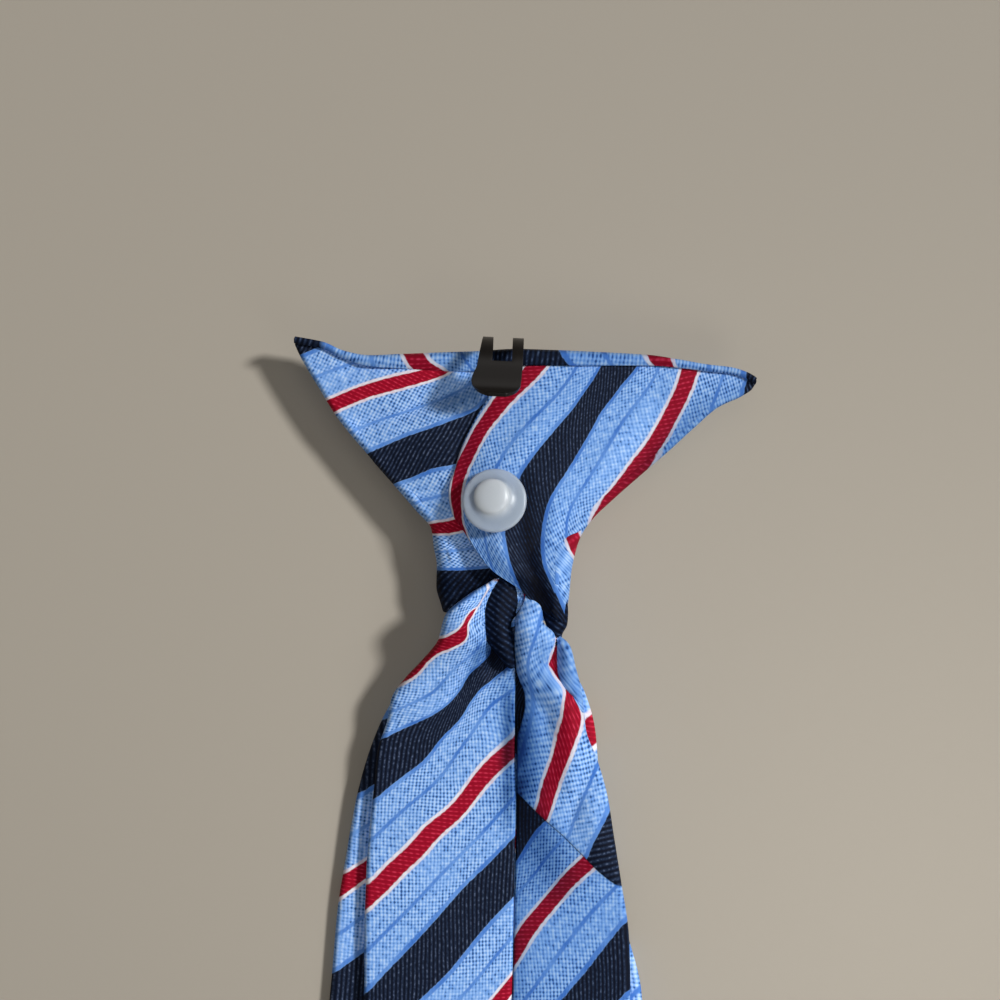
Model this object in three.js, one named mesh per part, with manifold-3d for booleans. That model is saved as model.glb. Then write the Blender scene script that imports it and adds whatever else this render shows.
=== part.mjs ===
// Pre-tied clip on necktie, lying face down with the back of its knot up.
// Millimetres. +Y runs along the tie towards the top of the knot, +X is to the right as seen from
// the back of the tie, +Z points away from the table. Shapes are worked out with Y = 0 at the neck
// below the knot. The finished group is moved so that its origin is the bottom centre of its box.
import * as THREE from 'three';
import { mergeVertices } from 'three/addons/utils/BufferGeometryUtils.js';
import Module from 'manifold-3d';

// Cloth
const cloth = 1.2;
const clearance = 0.3;

// Knot
const wingSpan = 91;
const knotHeight = 47.3;
const knotDepth = 16;
const topRoll = 2.4;
const stripGap = 1.1;
const stripLift = 0.6;
const stripStep = 6;
const hemSlope = 0.55;
const hemRise = 1;

// Blades
const bladeDrop = 411;
const bladeWidth = 83;
const bladeThickness = 3;
const tailDrop = 302;
const tailWidth = 53.5;
const tailThickness = 2.7;
const gatherHeight = 3.4;
const seamGap = 0.6;

// Clip of bent sheet steel
const clipSheet = 0.8;
const clipWidth = 9.8;
const clipArmsWidth = 8.4;
const clipSlotWidth = 4;
const clipAcross = -0.033;
const clipOverhang = 2.7;
const clipLegHeight = 0.512;
const collarSlot = 6.1;
const clipTabLength = 3.6;
const clipLipLength = 1.8;
const clipLipRise = 1.3;
const clipHiddenLength = 0.68;
const clipTabSlot = 1.1;
const clipHiddenSlot = 3;

// Plastic stud
const studAcross = -0.032;
const studUp = 0.408;
const studRadius = 6.2;
const studFlange = 1.5;
const studDomeRadius = 3.4;
const studDomeHeight = 2.6;
const studStemRadius = 1.5;
const studFootRadius = 3;
const studFootThickness = 1.2;
const studLean = 10;
const studLeanHeading = 125;
const studHoleClearance = 0.4;

// Sections of the knot, from its lower hem to its top rim.
// up: share of knotHeight. left, right: outer sides; edge: free edge of the over wrap; inner: hidden
// end of the left layer; all shares of wingSpan. fold: reach of the side folds, lowL to highL and
// lowR to highR: heights of the left and right folds, front, under, over: heights of the front, the
// left layer and the over wrap at mid width, all shares of knotDepth and at mid cloth.
const knotRows = [
  { up: -0.085, left: -0.134, right: 0.136, edge: 0.085, inner: 0.049, fold: 0.163,
    lowL: 0.35, highL: 0.65, lowR: 0.363, highR: 0.925, front: 0.319, under: 0.644, over: 0.956 },
  { up: -0.021, left: -0.143, right: 0.137, edge: 0.06, inner: 0.049, fold: 0.163,
    lowL: 0.35, highL: 0.65, lowR: 0.363, highR: 0.925, front: 0.319, under: 0.644, over: 0.956 },
  { up: 0.042, left: -0.152, right: 0.14, edge: 0.035, inner: 0.049, fold: 0.163,
    lowL: 0.344, highL: 0.656, lowR: 0.35, highR: 0.925, front: 0.3, under: 0.644, over: 0.963 },
  { up: 0.127, left: -0.153, right: 0.142, edge: -0.033, inner: 0.049, fold: 0.156,
    lowL: 0.35, highL: 0.675, lowR: 0.338, highR: 0.906, front: 0.238, under: 0.65, over: 0.963 },
  { up: 0.211, left: -0.162, right: 0.149, edge: -0.071, inner: 0.044, fold: 0.144,
    lowL: 0.375, highL: 0.7, lowR: 0.35, highR: 0.863, front: 0.163, under: 0.688, over: 0.969 },
  { up: 0.283, left: -0.169, right: 0.16, edge: -0.097, inner: 0.038, fold: 0.131,
    lowL: 0.394, highL: 0.694, lowR: 0.375, highR: 0.788, front: 0.106, under: 0.794, over: 0.969 },
  { up: 0.359, left: -0.205, right: 0.181, edge: -0.124, inner: 0.033, fold: 0.119,
    lowL: 0.406, highL: 0.675, lowR: 0.4, highR: 0.725, front: 0.063, under: 0.863, over: 0.963 },
  { up: 0.444, left: -0.247, right: 0.218, edge: -0.132, inner: 0.033, fold: 0.106,
    lowL: 0.419, highL: 0.656, lowR: 0.419, highR: 0.681, front: 0.038, under: 0.863, over: 0.963 },
  { up: 0.55, left: -0.3, right: 0.284, edge: -0.116, inner: 0.038, fold: 0.094,
    lowL: 0.438, highL: 0.638, lowR: 0.438, highR: 0.65, front: 0.038, under: 0.844, over: 0.944 },
  { up: 0.655, left: -0.348, right: 0.342, edge: -0.093, inner: 0.055, fold: 0.081,
    lowL: 0.456, highL: 0.625, lowR: 0.456, highR: 0.631, front: 0.056, under: 0.825, over: 0.925 },
  { up: 0.761, left: -0.391, right: 0.396, edge: -0.069, inner: 0.077, fold: 0.069,
    lowL: 0.475, highL: 0.625, lowR: 0.475, highR: 0.625, front: 0.094, under: 0.8, over: 0.9 },
  { up: 0.846, left: -0.422, right: 0.437, edge: -0.048, inner: 0.093, fold: 0.063,
    lowL: 0.494, highL: 0.631, lowR: 0.494, highR: 0.631, front: 0.138, under: 0.781, over: 0.881 },
  { up: 0.909, left: -0.446, right: 0.49, edge: -0.037, inner: 0.104, fold: 0.059,
    lowL: 0.513, highL: 0.631, lowR: 0.513, highR: 0.631, front: 0.181, under: 0.769, over: 0.869 },
  { up: 0.962, left: -0.465, right: 0.514, edge: -0.027, inner: 0.115, fold: 0.056,
    lowL: 0.525, highL: 0.638, lowR: 0.525, highR: 0.638, front: 0.219, under: 0.756, over: 0.856 },
  { up: 1, left: -0.476, right: 0.521, edge: -0.022, inner: 0.121, fold: 0.056,
    lowL: 0.531, highL: 0.644, lowR: 0.531, highR: 0.644, front: 0.25, under: 0.75, over: 0.85 },
];

// Top edge of the knot from wing tip to wing tip. across: share of wingSpan. rise: outer edge, share
// of knotHeight. lap: how far the turned strip reaches down over the back, share of knotHeight.
const topRows = [
  { across: -0.476, rise: 1.05, lap: 0.061 },
  { across: -0.418, rise: 1.032, lap: 0.061 },
  { across: -0.372, rise: 1, lap: 0.061 },
  { across: -0.322, rise: 0.987, lap: 0.061 },
  { across: -0.253, rise: 0.998, lap: 0.061 },
  { across: -0.14, rise: 1.017, lap: 0.085 },
  { across: -0.088, rise: 1.025, lap: 0.089 },
  { across: 0.015, rise: 1.042, lap: 0.074 },
  { across: 0.115, rise: 1.044, lap: 0.068 },
  { across: 0.265, rise: 1.044, lap: 0.061 },
  { across: 0.333, rise: 1.034, lap: 0.061 },
  { across: 0.399, rise: 1.015, lap: 0.061 },
  { across: 0.458, rise: 1.008, lap: 0.061 },
  { across: 0.495, rise: 0.991, lap: 0.061 },
  { across: 0.521, rise: 0.962, lap: 0.061 },
];

// Sections of the front blade from inside the knot to its point. down: share of bladeDrop. left,
// right, seam: shares of bladeWidth. under: height of the underside, share of knotDepth. thick:
// share of bladeThickness. open: how far the two flaps stand apart, share of the half width.
const bladeRows = [
  { down: -0.024, left: -0.082, right: 0.08, seam: 0, under: 0.413, thick: 0.9, open: 0 },
  { down: -0.005, left: -0.082, right: 0.08, seam: 0, under: 0.413, thick: 0.9, open: 0 },
  { down: 0.01, left: -0.082, right: 0.08, seam: 0, under: 0.413, thick: 0.9, open: 0 },
  { down: 0.02, left: -0.137, right: 0.137, seam: 0, under: 0.325, thick: 0.95, open: 0 },
  { down: 0.03, left: -0.175, right: 0.163, seam: 0, under: 0.263, thick: 1, open: 0 },
  { down: 0.044, left: -0.235, right: 0.187, seam: 0, under: 0.206, thick: 1, open: 0 },
  { down: 0.061, left: -0.282, right: 0.211, seam: 0, under: 0.163, thick: 1, open: 0 },
  { down: 0.08, left: -0.314, right: 0.235, seam: 0, under: 0.131, thick: 1, open: 0 },
  { down: 0.1, left: -0.336, right: 0.261, seam: 0, under: 0.094, thick: 1, open: 0 },
  { down: 0.127, left: -0.354, right: 0.294, seam: 0, under: 0.063, thick: 1, open: 0 },
  { down: 0.156, left: -0.37, right: 0.329, seam: 0, under: 0.038, thick: 1, open: 0 },
  { down: 0.19, left: -0.377, right: 0.377, seam: 0, under: 0.024, thick: 1, open: 0 },
  { down: 0.243, left: -0.392, right: 0.395, seam: 0, under: 0.02, thick: 1, open: 0 },
  { down: 0.365, left: -0.418, right: 0.42, seam: 0, under: 0.02, thick: 1, open: 0 },
  { down: 0.535, left: -0.451, right: 0.453, seam: 0, under: 0.02, thick: 1, open: 0 },
  { down: 0.735, left: -0.478, right: 0.479, seam: 0, under: 0.02, thick: 1, open: 0 },
  { down: 0.82, left: -0.489, right: 0.49, seam: 0, under: 0.01, thick: 1, open: 0.45 },
  { down: 0.899, left: -0.5, right: 0.5, seam: 0, under: 0, thick: 1, open: 0.86 },
  { down: 0.925, left: -0.373, right: 0.373, seam: 0, under: 0.004, thick: 1, open: 0.82 },
  { down: 0.95, left: -0.25, right: 0.25, seam: 0, under: 0.008, thick: 1, open: 0.74 },
  { down: 0.975, left: -0.128, right: 0.128, seam: 0, under: 0.013, thick: 1, open: 0.6 },
  { down: 0.996, left: -0.024, right: 0.024, seam: 0, under: 0.019, thick: 1, open: 0.2 },
];

// The same for the tail blade, with shares of tailDrop, tailWidth and tailThickness.
const tailRows = [
  { down: -0.022, left: -0.009, right: 0.12, seam: 0.069, under: 0.725, thick: 0.926, open: 0 },
  { down: -0.013, left: -0.05, right: 0.135, seam: 0.069, under: 0.719, thick: 0.926, open: 0 },
  { down: -0.002, left: -0.14, right: 0.14, seam: 0.069, under: 0.719, thick: 0.926, open: 0 },
  { down: 0.012, left: -0.22, right: 0.145, seam: 0.042, under: 0.719, thick: 0.926, open: 0 },
  { down: 0.028, left: -0.242, right: 0.25, seam: 0.041, under: 0.575, thick: 1, open: 0 },
  { down: 0.042, left: -0.297, right: 0.279, seam: 0.05, under: 0.481, thick: 1, open: 0.02 },
  { down: 0.055, left: -0.359, right: 0.305, seam: 0.056, under: 0.431, thick: 1, open: 0.06 },
  { down: 0.068, left: -0.404, right: 0.323, seam: 0.058, under: 0.406, thick: 1, open: 0.06 },
  { down: 0.083, left: -0.417, right: 0.333, seam: 0.062, under: 0.375, thick: 1, open: 0.03 },
  { down: 0.103, left: -0.447, right: 0.378, seam: 0.067, under: 0.353, thick: 1, open: 0 },
  { down: 0.126, left: -0.454, right: 0.417, seam: 0.074, under: 0.322, thick: 1, open: 0 },
  { down: 0.152, left: -0.464, right: 0.448, seam: 0.08, under: 0.294, thick: 1, open: 0 },
  { down: 0.179, left: -0.469, right: 0.48, seam: 0.083, under: 0.269, thick: 1, open: 0 },
  { down: 0.219, left: -0.467, right: 0.523, seam: 0.09, under: 0.244, thick: 1, open: 0 },
  { down: 0.258, left: -0.458, right: 0.537, seam: 0.095, under: 0.237, thick: 1, open: 0 },
  { down: 0.331, left: -0.454, right: 0.54, seam: 0.095, under: 0.23, thick: 1, open: 0 },
  { down: 0.53, left: -0.454, right: 0.542, seam: 0.095, under: 0.23, thick: 1, open: 0 },
  { down: 0.762, left: -0.464, right: 0.548, seam: 0.09, under: 0.23, thick: 1, open: 0 },
  { down: 0.83, left: -0.466, right: 0.55, seam: 0.08, under: 0.23, thick: 1, open: 0.5 },
  { down: 0.911, left: -0.467, right: 0.551, seam: 0.042, under: 0.23, thick: 1, open: 0.86 },
  { down: 0.94, left: -0.3, right: 0.384, seam: 0.042, under: 0.23, thick: 1, open: 0.78 },
  { down: 0.97, left: -0.13, right: 0.214, seam: 0.042, under: 0.23, thick: 1, open: 0.6 },
  { down: 0.996, left: 0.008, right: 0.076, seam: 0.042, under: 0.23, thick: 1, open: 0.2 },
];

// Gathers of the tail blade below the knot: each is a ridge that runs from one point to another.
// across and toAcross, spread and toSpread: shares of tailWidth. down and toDown: shares of tailDrop.
// rise: share of gatherHeight.
const gatherRows = [
  { name: 'left lobe', across: -0.11, down: -0.007, toAcross: -0.3, toDown: 0.1,
    spread: 0.06, toSpread: 0.1, rise: 1 },
  { name: 'tongue', across: 0, down: -0.008, toAcross: 0.025, toDown: 0.046,
    spread: 0.05, toSpread: 0.03, rise: 0.75 },
  { name: 'right lobe', across: 0.115, down: 0.01, toAcross: 0.2, toDown: 0.12,
    spread: 0.055, toSpread: 0.08, rise: 1 },
  { name: 'outer right lobe', across: 0.21, down: 0.013, toAcross: 0.31, toDown: 0.14,
    spread: 0.035, toSpread: 0.05, rise: 0.5 },
];

const wasm = await Module();
wasm.setup();

const lerp = THREE.MathUtils.lerp;
const clamp = THREE.MathUtils.clamp;
const smoothstep = THREE.MathUtils.smoothstep;
const radians = THREE.MathUtils.degToRad;

// Reads a table at any place along its first column, on a smooth curve through its rows.
function readTable(rows, place) {
  const key = Object.keys(rows[0]).find((name) => name !== 'name');
  let i = 0;
  while (i < rows.length - 2 && rows[i + 1][key] < place) i += 1;
  const a = rows[i];
  const b = rows[i + 1];
  const before = rows[Math.max(i - 1, 0)];
  const after = rows[Math.min(i + 2, rows.length - 1)];
  const step = b[key] - a[key];
  const t = clamp((place - a[key]) / step, 0, 1);
  const row = { [key]: place };
  for (const name of Object.keys(a)) {
    if (name === key) continue;
    const slope = (b[name] - a[name]) / step;
    const slopeIn = a === before ? slope : (a[name] - before[name]) / (a[key] - before[key]);
    const slopeOut = b === after ? slope : (after[name] - b[name]) / (after[key] - b[key]);
    const tangentIn = limitedTangent(slopeIn, slope) * step;
    const tangentOut = limitedTangent(slope, slopeOut) * step;
    const tt = t * t;
    const ttt = tt * t;
    row[name] = (2 * ttt - 3 * tt + 1) * a[name] + (ttt - 2 * tt + t) * tangentIn
      + (3 * tt - 2 * ttt) * b[name] + (ttt - tt) * tangentOut;
  }
  return row;
}

// Tangent between two slopes that never overshoots the rows.
function limitedTangent(slopeIn, slopeOut) {
  if (slopeIn * slopeOut <= 0) return 0;
  return 2 * slopeIn * slopeOut / (slopeIn + slopeOut);
}

// Places of the table's rows, with one place more in each of its gaps where wanted.
function places(rows, key, between = 0) {
  const list = [];
  for (let i = 0; i < rows.length - 1; i += 1) {
    for (let k = 0; k <= between; k += 1) {
      list.push(lerp(rows[i][key], rows[i + 1][key], k / (between + 1)));
    }
  }
  list.push(rows[rows.length - 1][key]);
  return list;
}

// Closed solid from a grid of points at mid cloth. Each point is pushed half the thickness to both
// sides along the surface normal, and a rim closes the four borders.
function sheetSolid(grid, thickness) {
  const rowCount = grid.length;
  const columnCount = grid[0].length;
  const positions = [];
  const normalAt = (r, c) => {
    const alongColumn = new THREE.Vector3().subVectors(
      grid[Math.min(r + 1, rowCount - 1)][c], grid[Math.max(r - 1, 0)][c]);
    const alongRow = new THREE.Vector3().subVectors(
      grid[r][Math.min(c + 1, columnCount - 1)], grid[r][Math.max(c - 1, 0)]);
    return alongRow.cross(alongColumn).normalize();
  };
  for (const side of [1, -1]) {
    for (let r = 0; r < rowCount; r += 1) {
      for (let c = 0; c < columnCount; c += 1) {
        const point = grid[r][c].clone().addScaledVector(normalAt(r, c), side * thickness / 2);
        positions.push(point.x, point.y, point.z);
      }
    }
  }
  const index = [];
  const top = (r, c) => r * columnCount + c;
  const bottom = (r, c) => (rowCount + r) * columnCount + c;
  const quad = (a, b, c, d) => index.push(a, b, c, a, c, d);
  for (let r = 0; r < rowCount - 1; r += 1) {
    for (let c = 0; c < columnCount - 1; c += 1) {
      quad(top(r, c), top(r, c + 1), top(r + 1, c + 1), top(r + 1, c));
      quad(bottom(r, c), bottom(r + 1, c), bottom(r + 1, c + 1), bottom(r, c + 1));
    }
    quad(top(r, 0), top(r + 1, 0), bottom(r + 1, 0), bottom(r, 0));
    const last = columnCount - 1;
    quad(top(r + 1, last), top(r, last), bottom(r, last), bottom(r + 1, last));
  }
  for (let c = 0; c < columnCount - 1; c += 1) {
    quad(top(0, c + 1), top(0, c), bottom(0, c), bottom(0, c + 1));
    const last = rowCount - 1;
    quad(top(last, c), top(last, c + 1), bottom(last, c + 1), bottom(last, c));
  }
  const geometry = new THREE.BufferGeometry();
  geometry.setAttribute('position', new THREE.Float32BufferAttribute(positions, 3));
  geometry.setIndex(index);
  return geometry;
}

function toManifold(geometry) {
  const bare = geometry.clone();
  bare.deleteAttribute('normal');
  bare.deleteAttribute('uv');
  const merged = mergeVertices(bare);
  const vertProperties = new Float32Array(merged.attributes.position.array);
  const triVerts = new Uint32Array(merged.index.array);
  return new wasm.Manifold(new wasm.Mesh({ numProp: 3, vertProperties, triVerts }));
}

function fromManifold(solid) {
  const mesh = solid.getMesh();
  const geometry = new THREE.BufferGeometry();
  geometry.setAttribute('position', new THREE.BufferAttribute(mesh.vertProperties, 3));
  geometry.setIndex(new THREE.BufferAttribute(mesh.triVerts, 1));
  return geometry;
}

function cutAway(geometry, cutters) {
  let solid = toManifold(geometry);
  for (const cutter of cutters) solid = solid.subtract(toManifold(cutter));
  return fromManifold(solid);
}

// Knot

// Bulge across the knot: 1 at mid width, 0 at the side folds.
const hump = (s) => Math.cos(clamp(s, -1, 1) * Math.PI / 2) ** 1.25;

// One section of the knot, as sizes in millimetres and the heights of its three layers at any x.
function knotSection(up) {
  const row = readTable(knotRows, up);
  const left = row.left * wingSpan + cloth / 2;
  const right = row.right * wingSpan - cloth / 2;
  const fold = row.fold * knotDepth;
  const start = left + fold;
  const end = right - fold;
  const share = (x) => (2 * (x - start)) / (end - start) - 1;
  const frontZ = (x) => {
    const s = share(x);
    const side = lerp(row.lowL, row.lowR, (s + 1) / 2);
    const mid = (row.lowL + row.lowR) / 2;
    return (side - (mid - row.front) * hump(s)) * knotDepth;
  };
  const leftZ = (x) => lerp(row.highL, row.under, hump(Math.min(share(x), 0))) * knotDepth;
  const overZ = (x) => {
    const s = share(x);
    if (s < 0) return leftZ(x) + (row.over - row.under) * knotDepth;
    return lerp(row.highR, row.over, hump(s)) * knotDepth;
  };
  return { row, left, right, fold, start, end, frontZ, leftZ, overZ,
    edge: row.edge * wingSpan, inner: row.inner * wingSpan };
}

// Height of the wrap's rim under the turned strip at any x.
function rimY(x) {
  return readTable(topRows, x / wingSpan).rise * knotHeight - topRoll;
}

// Upper half of the knot stretches to the curved rim, and its lowest rows follow the hem.
const stretchFrom = 0.6;
const hemTop = knotRows[2].up;
const hemBottom = knotRows[0].up;

function knotY(up, x, lift) {
  const fade = clamp((hemTop - up) / (hemTop - hemBottom), 0, 1) ** 2;
  if (up <= stretchFrom) return up * knotHeight + lift * fade;
  const t = (up - stretchFrom) / (1 - stretchFrom);
  return lerp(stretchFrom * knotHeight, rimY(x), t);
}

const spiralSteps = { left: 5, fold: 4, front: 10, over: 6 };

function knotSpiral(up) {
  const k = knotSection(up);
  const points = [];
  const add = (x, z, lift) => points.push(new THREE.Vector3(x, knotY(up, x, lift), z));
  for (let i = 0; i < spiralSteps.left; i += 1) {
    const x = lerp(k.inner, k.start, i / spiralSteps.left);
    add(x, k.leftZ(x), hemRise);
  }
  const lowL = k.frontZ(k.start);
  const highL = k.leftZ(k.start);
  for (let i = 0; i < spiralSteps.fold; i += 1) {
    const angle = Math.PI * (i / spiralSteps.fold);
    add(k.start - k.fold * Math.sin(angle), lerp(lowL, highL, (1 + Math.cos(angle)) / 2), hemRise);
  }
  for (let i = 0; i < spiralSteps.front; i += 1) {
    const x = lerp(k.start, k.end, i / spiralSteps.front);
    add(x, k.frontZ(x), hemRise * (1 - i / spiralSteps.front));
  }
  const lowR = k.frontZ(k.end);
  const highR = k.overZ(k.end);
  for (let i = 0; i < spiralSteps.fold; i += 1) {
    const angle = Math.PI * (i / spiralSteps.fold);
    const x = k.end + k.fold * Math.sin(angle);
    const lift = angle > Math.PI / 2 ? hemSlope * (k.right - x) : 0;
    add(x, lerp(lowR, highR, (1 - Math.cos(angle)) / 2), lift);
  }
  for (let i = 0; i <= spiralSteps.over; i += 1) {
    const x = lerp(k.end, k.edge, i / spiralSteps.over);
    add(x, k.overZ(x), hemSlope * (k.right - x));
  }
  return points;
}

// The clip hooks over the top edge: its tab stands off the over wrap by the collar slot, and its
// bend reaches past the edge by the overhang.
const clipX = clipAcross * wingSpan;
const topEdgeY = readTable(topRows, clipAcross).rise * knotHeight;
const clipLowZ = clipLegHeight * knotDepth;
const clipHighZ = knotSection(knotRows[12].up).overZ(0) + cloth / 2 + collarSlot + clipSheet / 2;
const clipBendRadius = (clipHighZ - clipLowZ) / 2;
const clipBendZ = (clipHighZ + clipLowZ) / 2;
const clipBendY = topEdgeY + clipOverhang - clipBendRadius - clipSheet / 2;

// The stud leans, and the low side of its flange just clears the over wrap.
const studX = studAcross * wingSpan;
const studY = studUp * knotHeight;
const studLift = studRadius * Math.sin(radians(studLean)) + clearance;
const studSeatZ = knotSection(studUp).overZ(studX) + cloth / 2 + studLift;

function studPlaced(geometry) {
  geometry.rotateX(Math.PI / 2);
  const heading = radians(studLeanHeading);
  const axis = new THREE.Vector3(-Math.sin(heading), Math.cos(heading), 0);
  geometry.applyMatrix4(new THREE.Matrix4().makeRotationAxis(axis, radians(studLean)));
  geometry.translate(studX, studY, studSeatZ);
  return geometry;
}

const studHeadDrop = (studSeatZ - clipLowZ) / Math.cos(radians(studLean));

function studHole() {
  const radius = studStemRadius + studHoleClearance;
  return studPlaced(new THREE.CylinderGeometry(radius, radius, studHeadDrop * 3, 24));
}

function clipArmSlots() {
  const armWidth = (clipArmsWidth - clipSlotWidth) / 2;
  const bottom = clipLowZ - clipSheet / 2 - clearance;
  const edgeY = topEdgeY + clearance;
  const innerRadius = clipBendRadius - clipSheet / 2;
  const top = clipBendZ - Math.sqrt(innerRadius ** 2 - (edgeY - clipBendY) ** 2) + clearance;
  return [-1, 1].map((side) => {
    const slot = new THREE.BoxGeometry(armWidth + 2 * clearance, 4 * topRoll, top - bottom);
    const x = clipX + side * (clipSlotWidth + armWidth) / 2;
    slot.translate(x, edgeY, (top + bottom) / 2);
    return slot;
  });
}

function knotWrapGeometry() {
  const grid = places(knotRows, 'up', 1).map(knotSpiral);
  return cutAway(sheetSolid(grid, cloth), [studHole()]);
}

// Turned strip along the knot's top edge: it starts at the rim of the front, rolls over the rim of
// the back layers and lies on them.
const stripArcSteps = 6;
const stripLegSteps = 2;

function topFoldGeometry() {
  const section = knotSection(1);
  const grid = places(topRows, 'across', 1).map((across) => {
    const row = readTable(topRows, across);
    const x = clamp(across * wingSpan, section.left, section.right);
    const startY = rimY(x) + stripGap;
    const inset = clamp(x, section.start, section.end);
    const onOver = smoothstep(x, section.edge - stripStep, section.edge);
    const layerZ = lerp(section.leftZ(inset), section.overZ(inset), onOver);
    const backZ = layerZ + cloth + stripLift;
    const frontZ = section.frontZ(inset);
    const reach = topRoll - stripGap - cloth / 2;
    const points = [];
    for (let i = 0; i <= stripArcSteps; i += 1) {
      const angle = Math.PI * (i / stripArcSteps);
      const z = lerp(frontZ, backZ, (1 - Math.cos(angle)) / 2);
      points.push(new THREE.Vector3(x, startY + reach * Math.sin(angle), z));
    }
    const endY = row.rise * knotHeight - row.lap * knotHeight;
    for (let i = 1; i <= stripLegSteps; i += 1) {
      points.push(new THREE.Vector3(x, lerp(startY, endY, i / stripLegSteps), backZ));
    }
    return points;
  });
  return cutAway(sheetSolid(grid, cloth), clipArmSlots());
}

// Blades

// Height of the gathers at a point of the tail blade's flaps.
function gatherZ(x, y) {
  let height = 0;
  for (const gather of gatherRows) {
    const startY = -gather.down * tailDrop;
    const endY = -gather.toDown * tailDrop;
    const t = (y - startY) / (endY - startY);
    if (t <= 0 || t >= 1) continue;
    const centre = lerp(gather.across, gather.toAcross, t) * tailWidth;
    const spread = lerp(gather.spread, gather.toSpread, t) * tailWidth;
    const swell = Math.min(1, 5 * t) * (1 - t) ** 0.8;
    height += gather.rise * gatherHeight * swell * Math.exp(-(((x - centre) / spread) ** 2));
  }
  return height;
}

// A flattened tube of cloth: left flap from the seam outwards, left fold, front, right fold, right
// flap back to the seam.
function bladeSection(row, size, steps, flapRise) {
  const y = -row.down * size.drop;
  const left = row.left * size.width;
  const right = row.right * size.width;
  const half = (right - left) / 2;
  const under = row.under * knotDepth;
  const thick = row.thick * size.thickness;
  const fold = Math.min((thick - cloth) / 2, half / 2);
  const low = under + cloth / 2;
  const high = under + thick - cloth / 2;
  const start = left + cloth / 2 + fold;
  const end = right - cloth / 2 - fold;
  const seam = row.seam * size.width;
  const apart = seamGap / 2 + row.open * half;
  const leftFlap = clamp(seam - apart, start + fold / 4, seam);
  const rightFlap = clamp(seam + apart, seam, end - fold / 4);
  const points = [];
  const add = (x, z) => points.push(new THREE.Vector3(x, y, z));
  for (let i = 0; i < steps.flap; i += 1) {
    const x = lerp(leftFlap, start, i / steps.flap);
    add(x, high + flapRise(x, y));
  }
  for (let i = 0; i < steps.fold; i += 1) {
    const angle = Math.PI * (i / steps.fold);
    const z = lerp(low, high + flapRise(start, y), (1 + Math.cos(angle)) / 2);
    add(start - fold * Math.sin(angle), z);
  }
  for (let i = 0; i < steps.front; i += 1) {
    add(lerp(start, end, i / steps.front), low);
  }
  for (let i = 0; i < steps.fold; i += 1) {
    const angle = Math.PI * (i / steps.fold);
    const z = lerp(low, high + flapRise(end, y), (1 - Math.cos(angle)) / 2);
    add(end + fold * Math.sin(angle), z);
  }
  for (let i = 0; i <= steps.flap; i += 1) {
    const x = lerp(end, rightFlap, i / steps.flap);
    add(x, high + flapRise(x, y));
  }
  return points;
}

function frontBladeGeometry() {
  const size = { drop: bladeDrop, width: bladeWidth, thickness: bladeThickness };
  const steps = { flap: 4, fold: 4, front: 6 };
  const grid = bladeRows.map((row) => bladeSection(row, size, steps, () => 0));
  return sheetSolid(grid, cloth);
}

function tailBladeGeometry() {
  const size = { drop: tailDrop, width: tailWidth, thickness: tailThickness };
  const steps = { flap: 9, fold: 4, front: 6 };
  const grid = tailRows.map((row) => bladeSection(row, size, steps, gatherZ));
  return sheetSolid(grid, cloth);
}

// Clip

const clipBendSteps = 12;
const clipAcrossSteps = 1;

// Path of the bent sheet from its hidden end to its lip, with the sheet's half width at each place.
function clipPath() {
  const path = [];
  const add = (y, z, halfWidth) => path.push({ y, z, halfWidth });
  add(clipBendY - clipHiddenLength * knotHeight, clipLowZ, clipWidth / 2);
  add(clipBendY - clipHiddenSlot * 2, clipLowZ, clipWidth / 2);
  add(clipBendY - clipHiddenSlot, clipLowZ, clipArmsWidth / 2);
  for (let i = 0; i <= clipBendSteps; i += 1) {
    const angle = Math.PI * (i / clipBendSteps);
    const y = clipBendY + clipBendRadius * Math.sin(angle);
    add(y, clipBendZ - clipBendRadius * Math.cos(angle), clipArmsWidth / 2);
  }
  const tabEnd = clipBendY - clipTabLength;
  add(lerp(clipBendY, tabEnd, 0.5), clipHighZ, (clipWidth + clipArmsWidth) / 4);
  add(tabEnd, clipHighZ, clipWidth / 2);
  add(tabEnd - clipLipLength * 0.5, clipHighZ + clipLipRise * 0.35, clipWidth * 0.47);
  add(tabEnd - clipLipLength * 0.85, clipHighZ + clipLipRise * 0.75, clipWidth * 0.38);
  add(tabEnd - clipLipLength, clipHighZ + clipLipRise, clipWidth * 0.24);
  return path;
}

function clipGeometry() {
  const grid = clipPath().map(({ y, z, halfWidth }) => {
    const points = [];
    for (let i = 0; i <= clipAcrossSteps; i += 1) {
      points.push(new THREE.Vector3(clipX + lerp(halfWidth, -halfWidth, i / clipAcrossSteps), y, z));
    }
    return points;
  });
  const upperSlot = new THREE.BoxGeometry(clipSlotWidth, 2 * clipBendRadius, 4 * clipBendRadius);
  upperSlot.translate(clipX, clipBendY + clipTabSlot + clipBendRadius, clipBendZ);
  const lowerSlot = new THREE.BoxGeometry(clipSlotWidth, 4 * clipBendRadius, clipBendRadius);
  lowerSlot.translate(clipX, clipBendY - clipHiddenSlot + 2 * clipBendRadius, clipLowZ);
  return cutAway(sheetSolid(grid, clipSheet), [upperSlot, lowerSlot, studHole()]);
}

// Stud

const studSides = 24;

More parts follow.
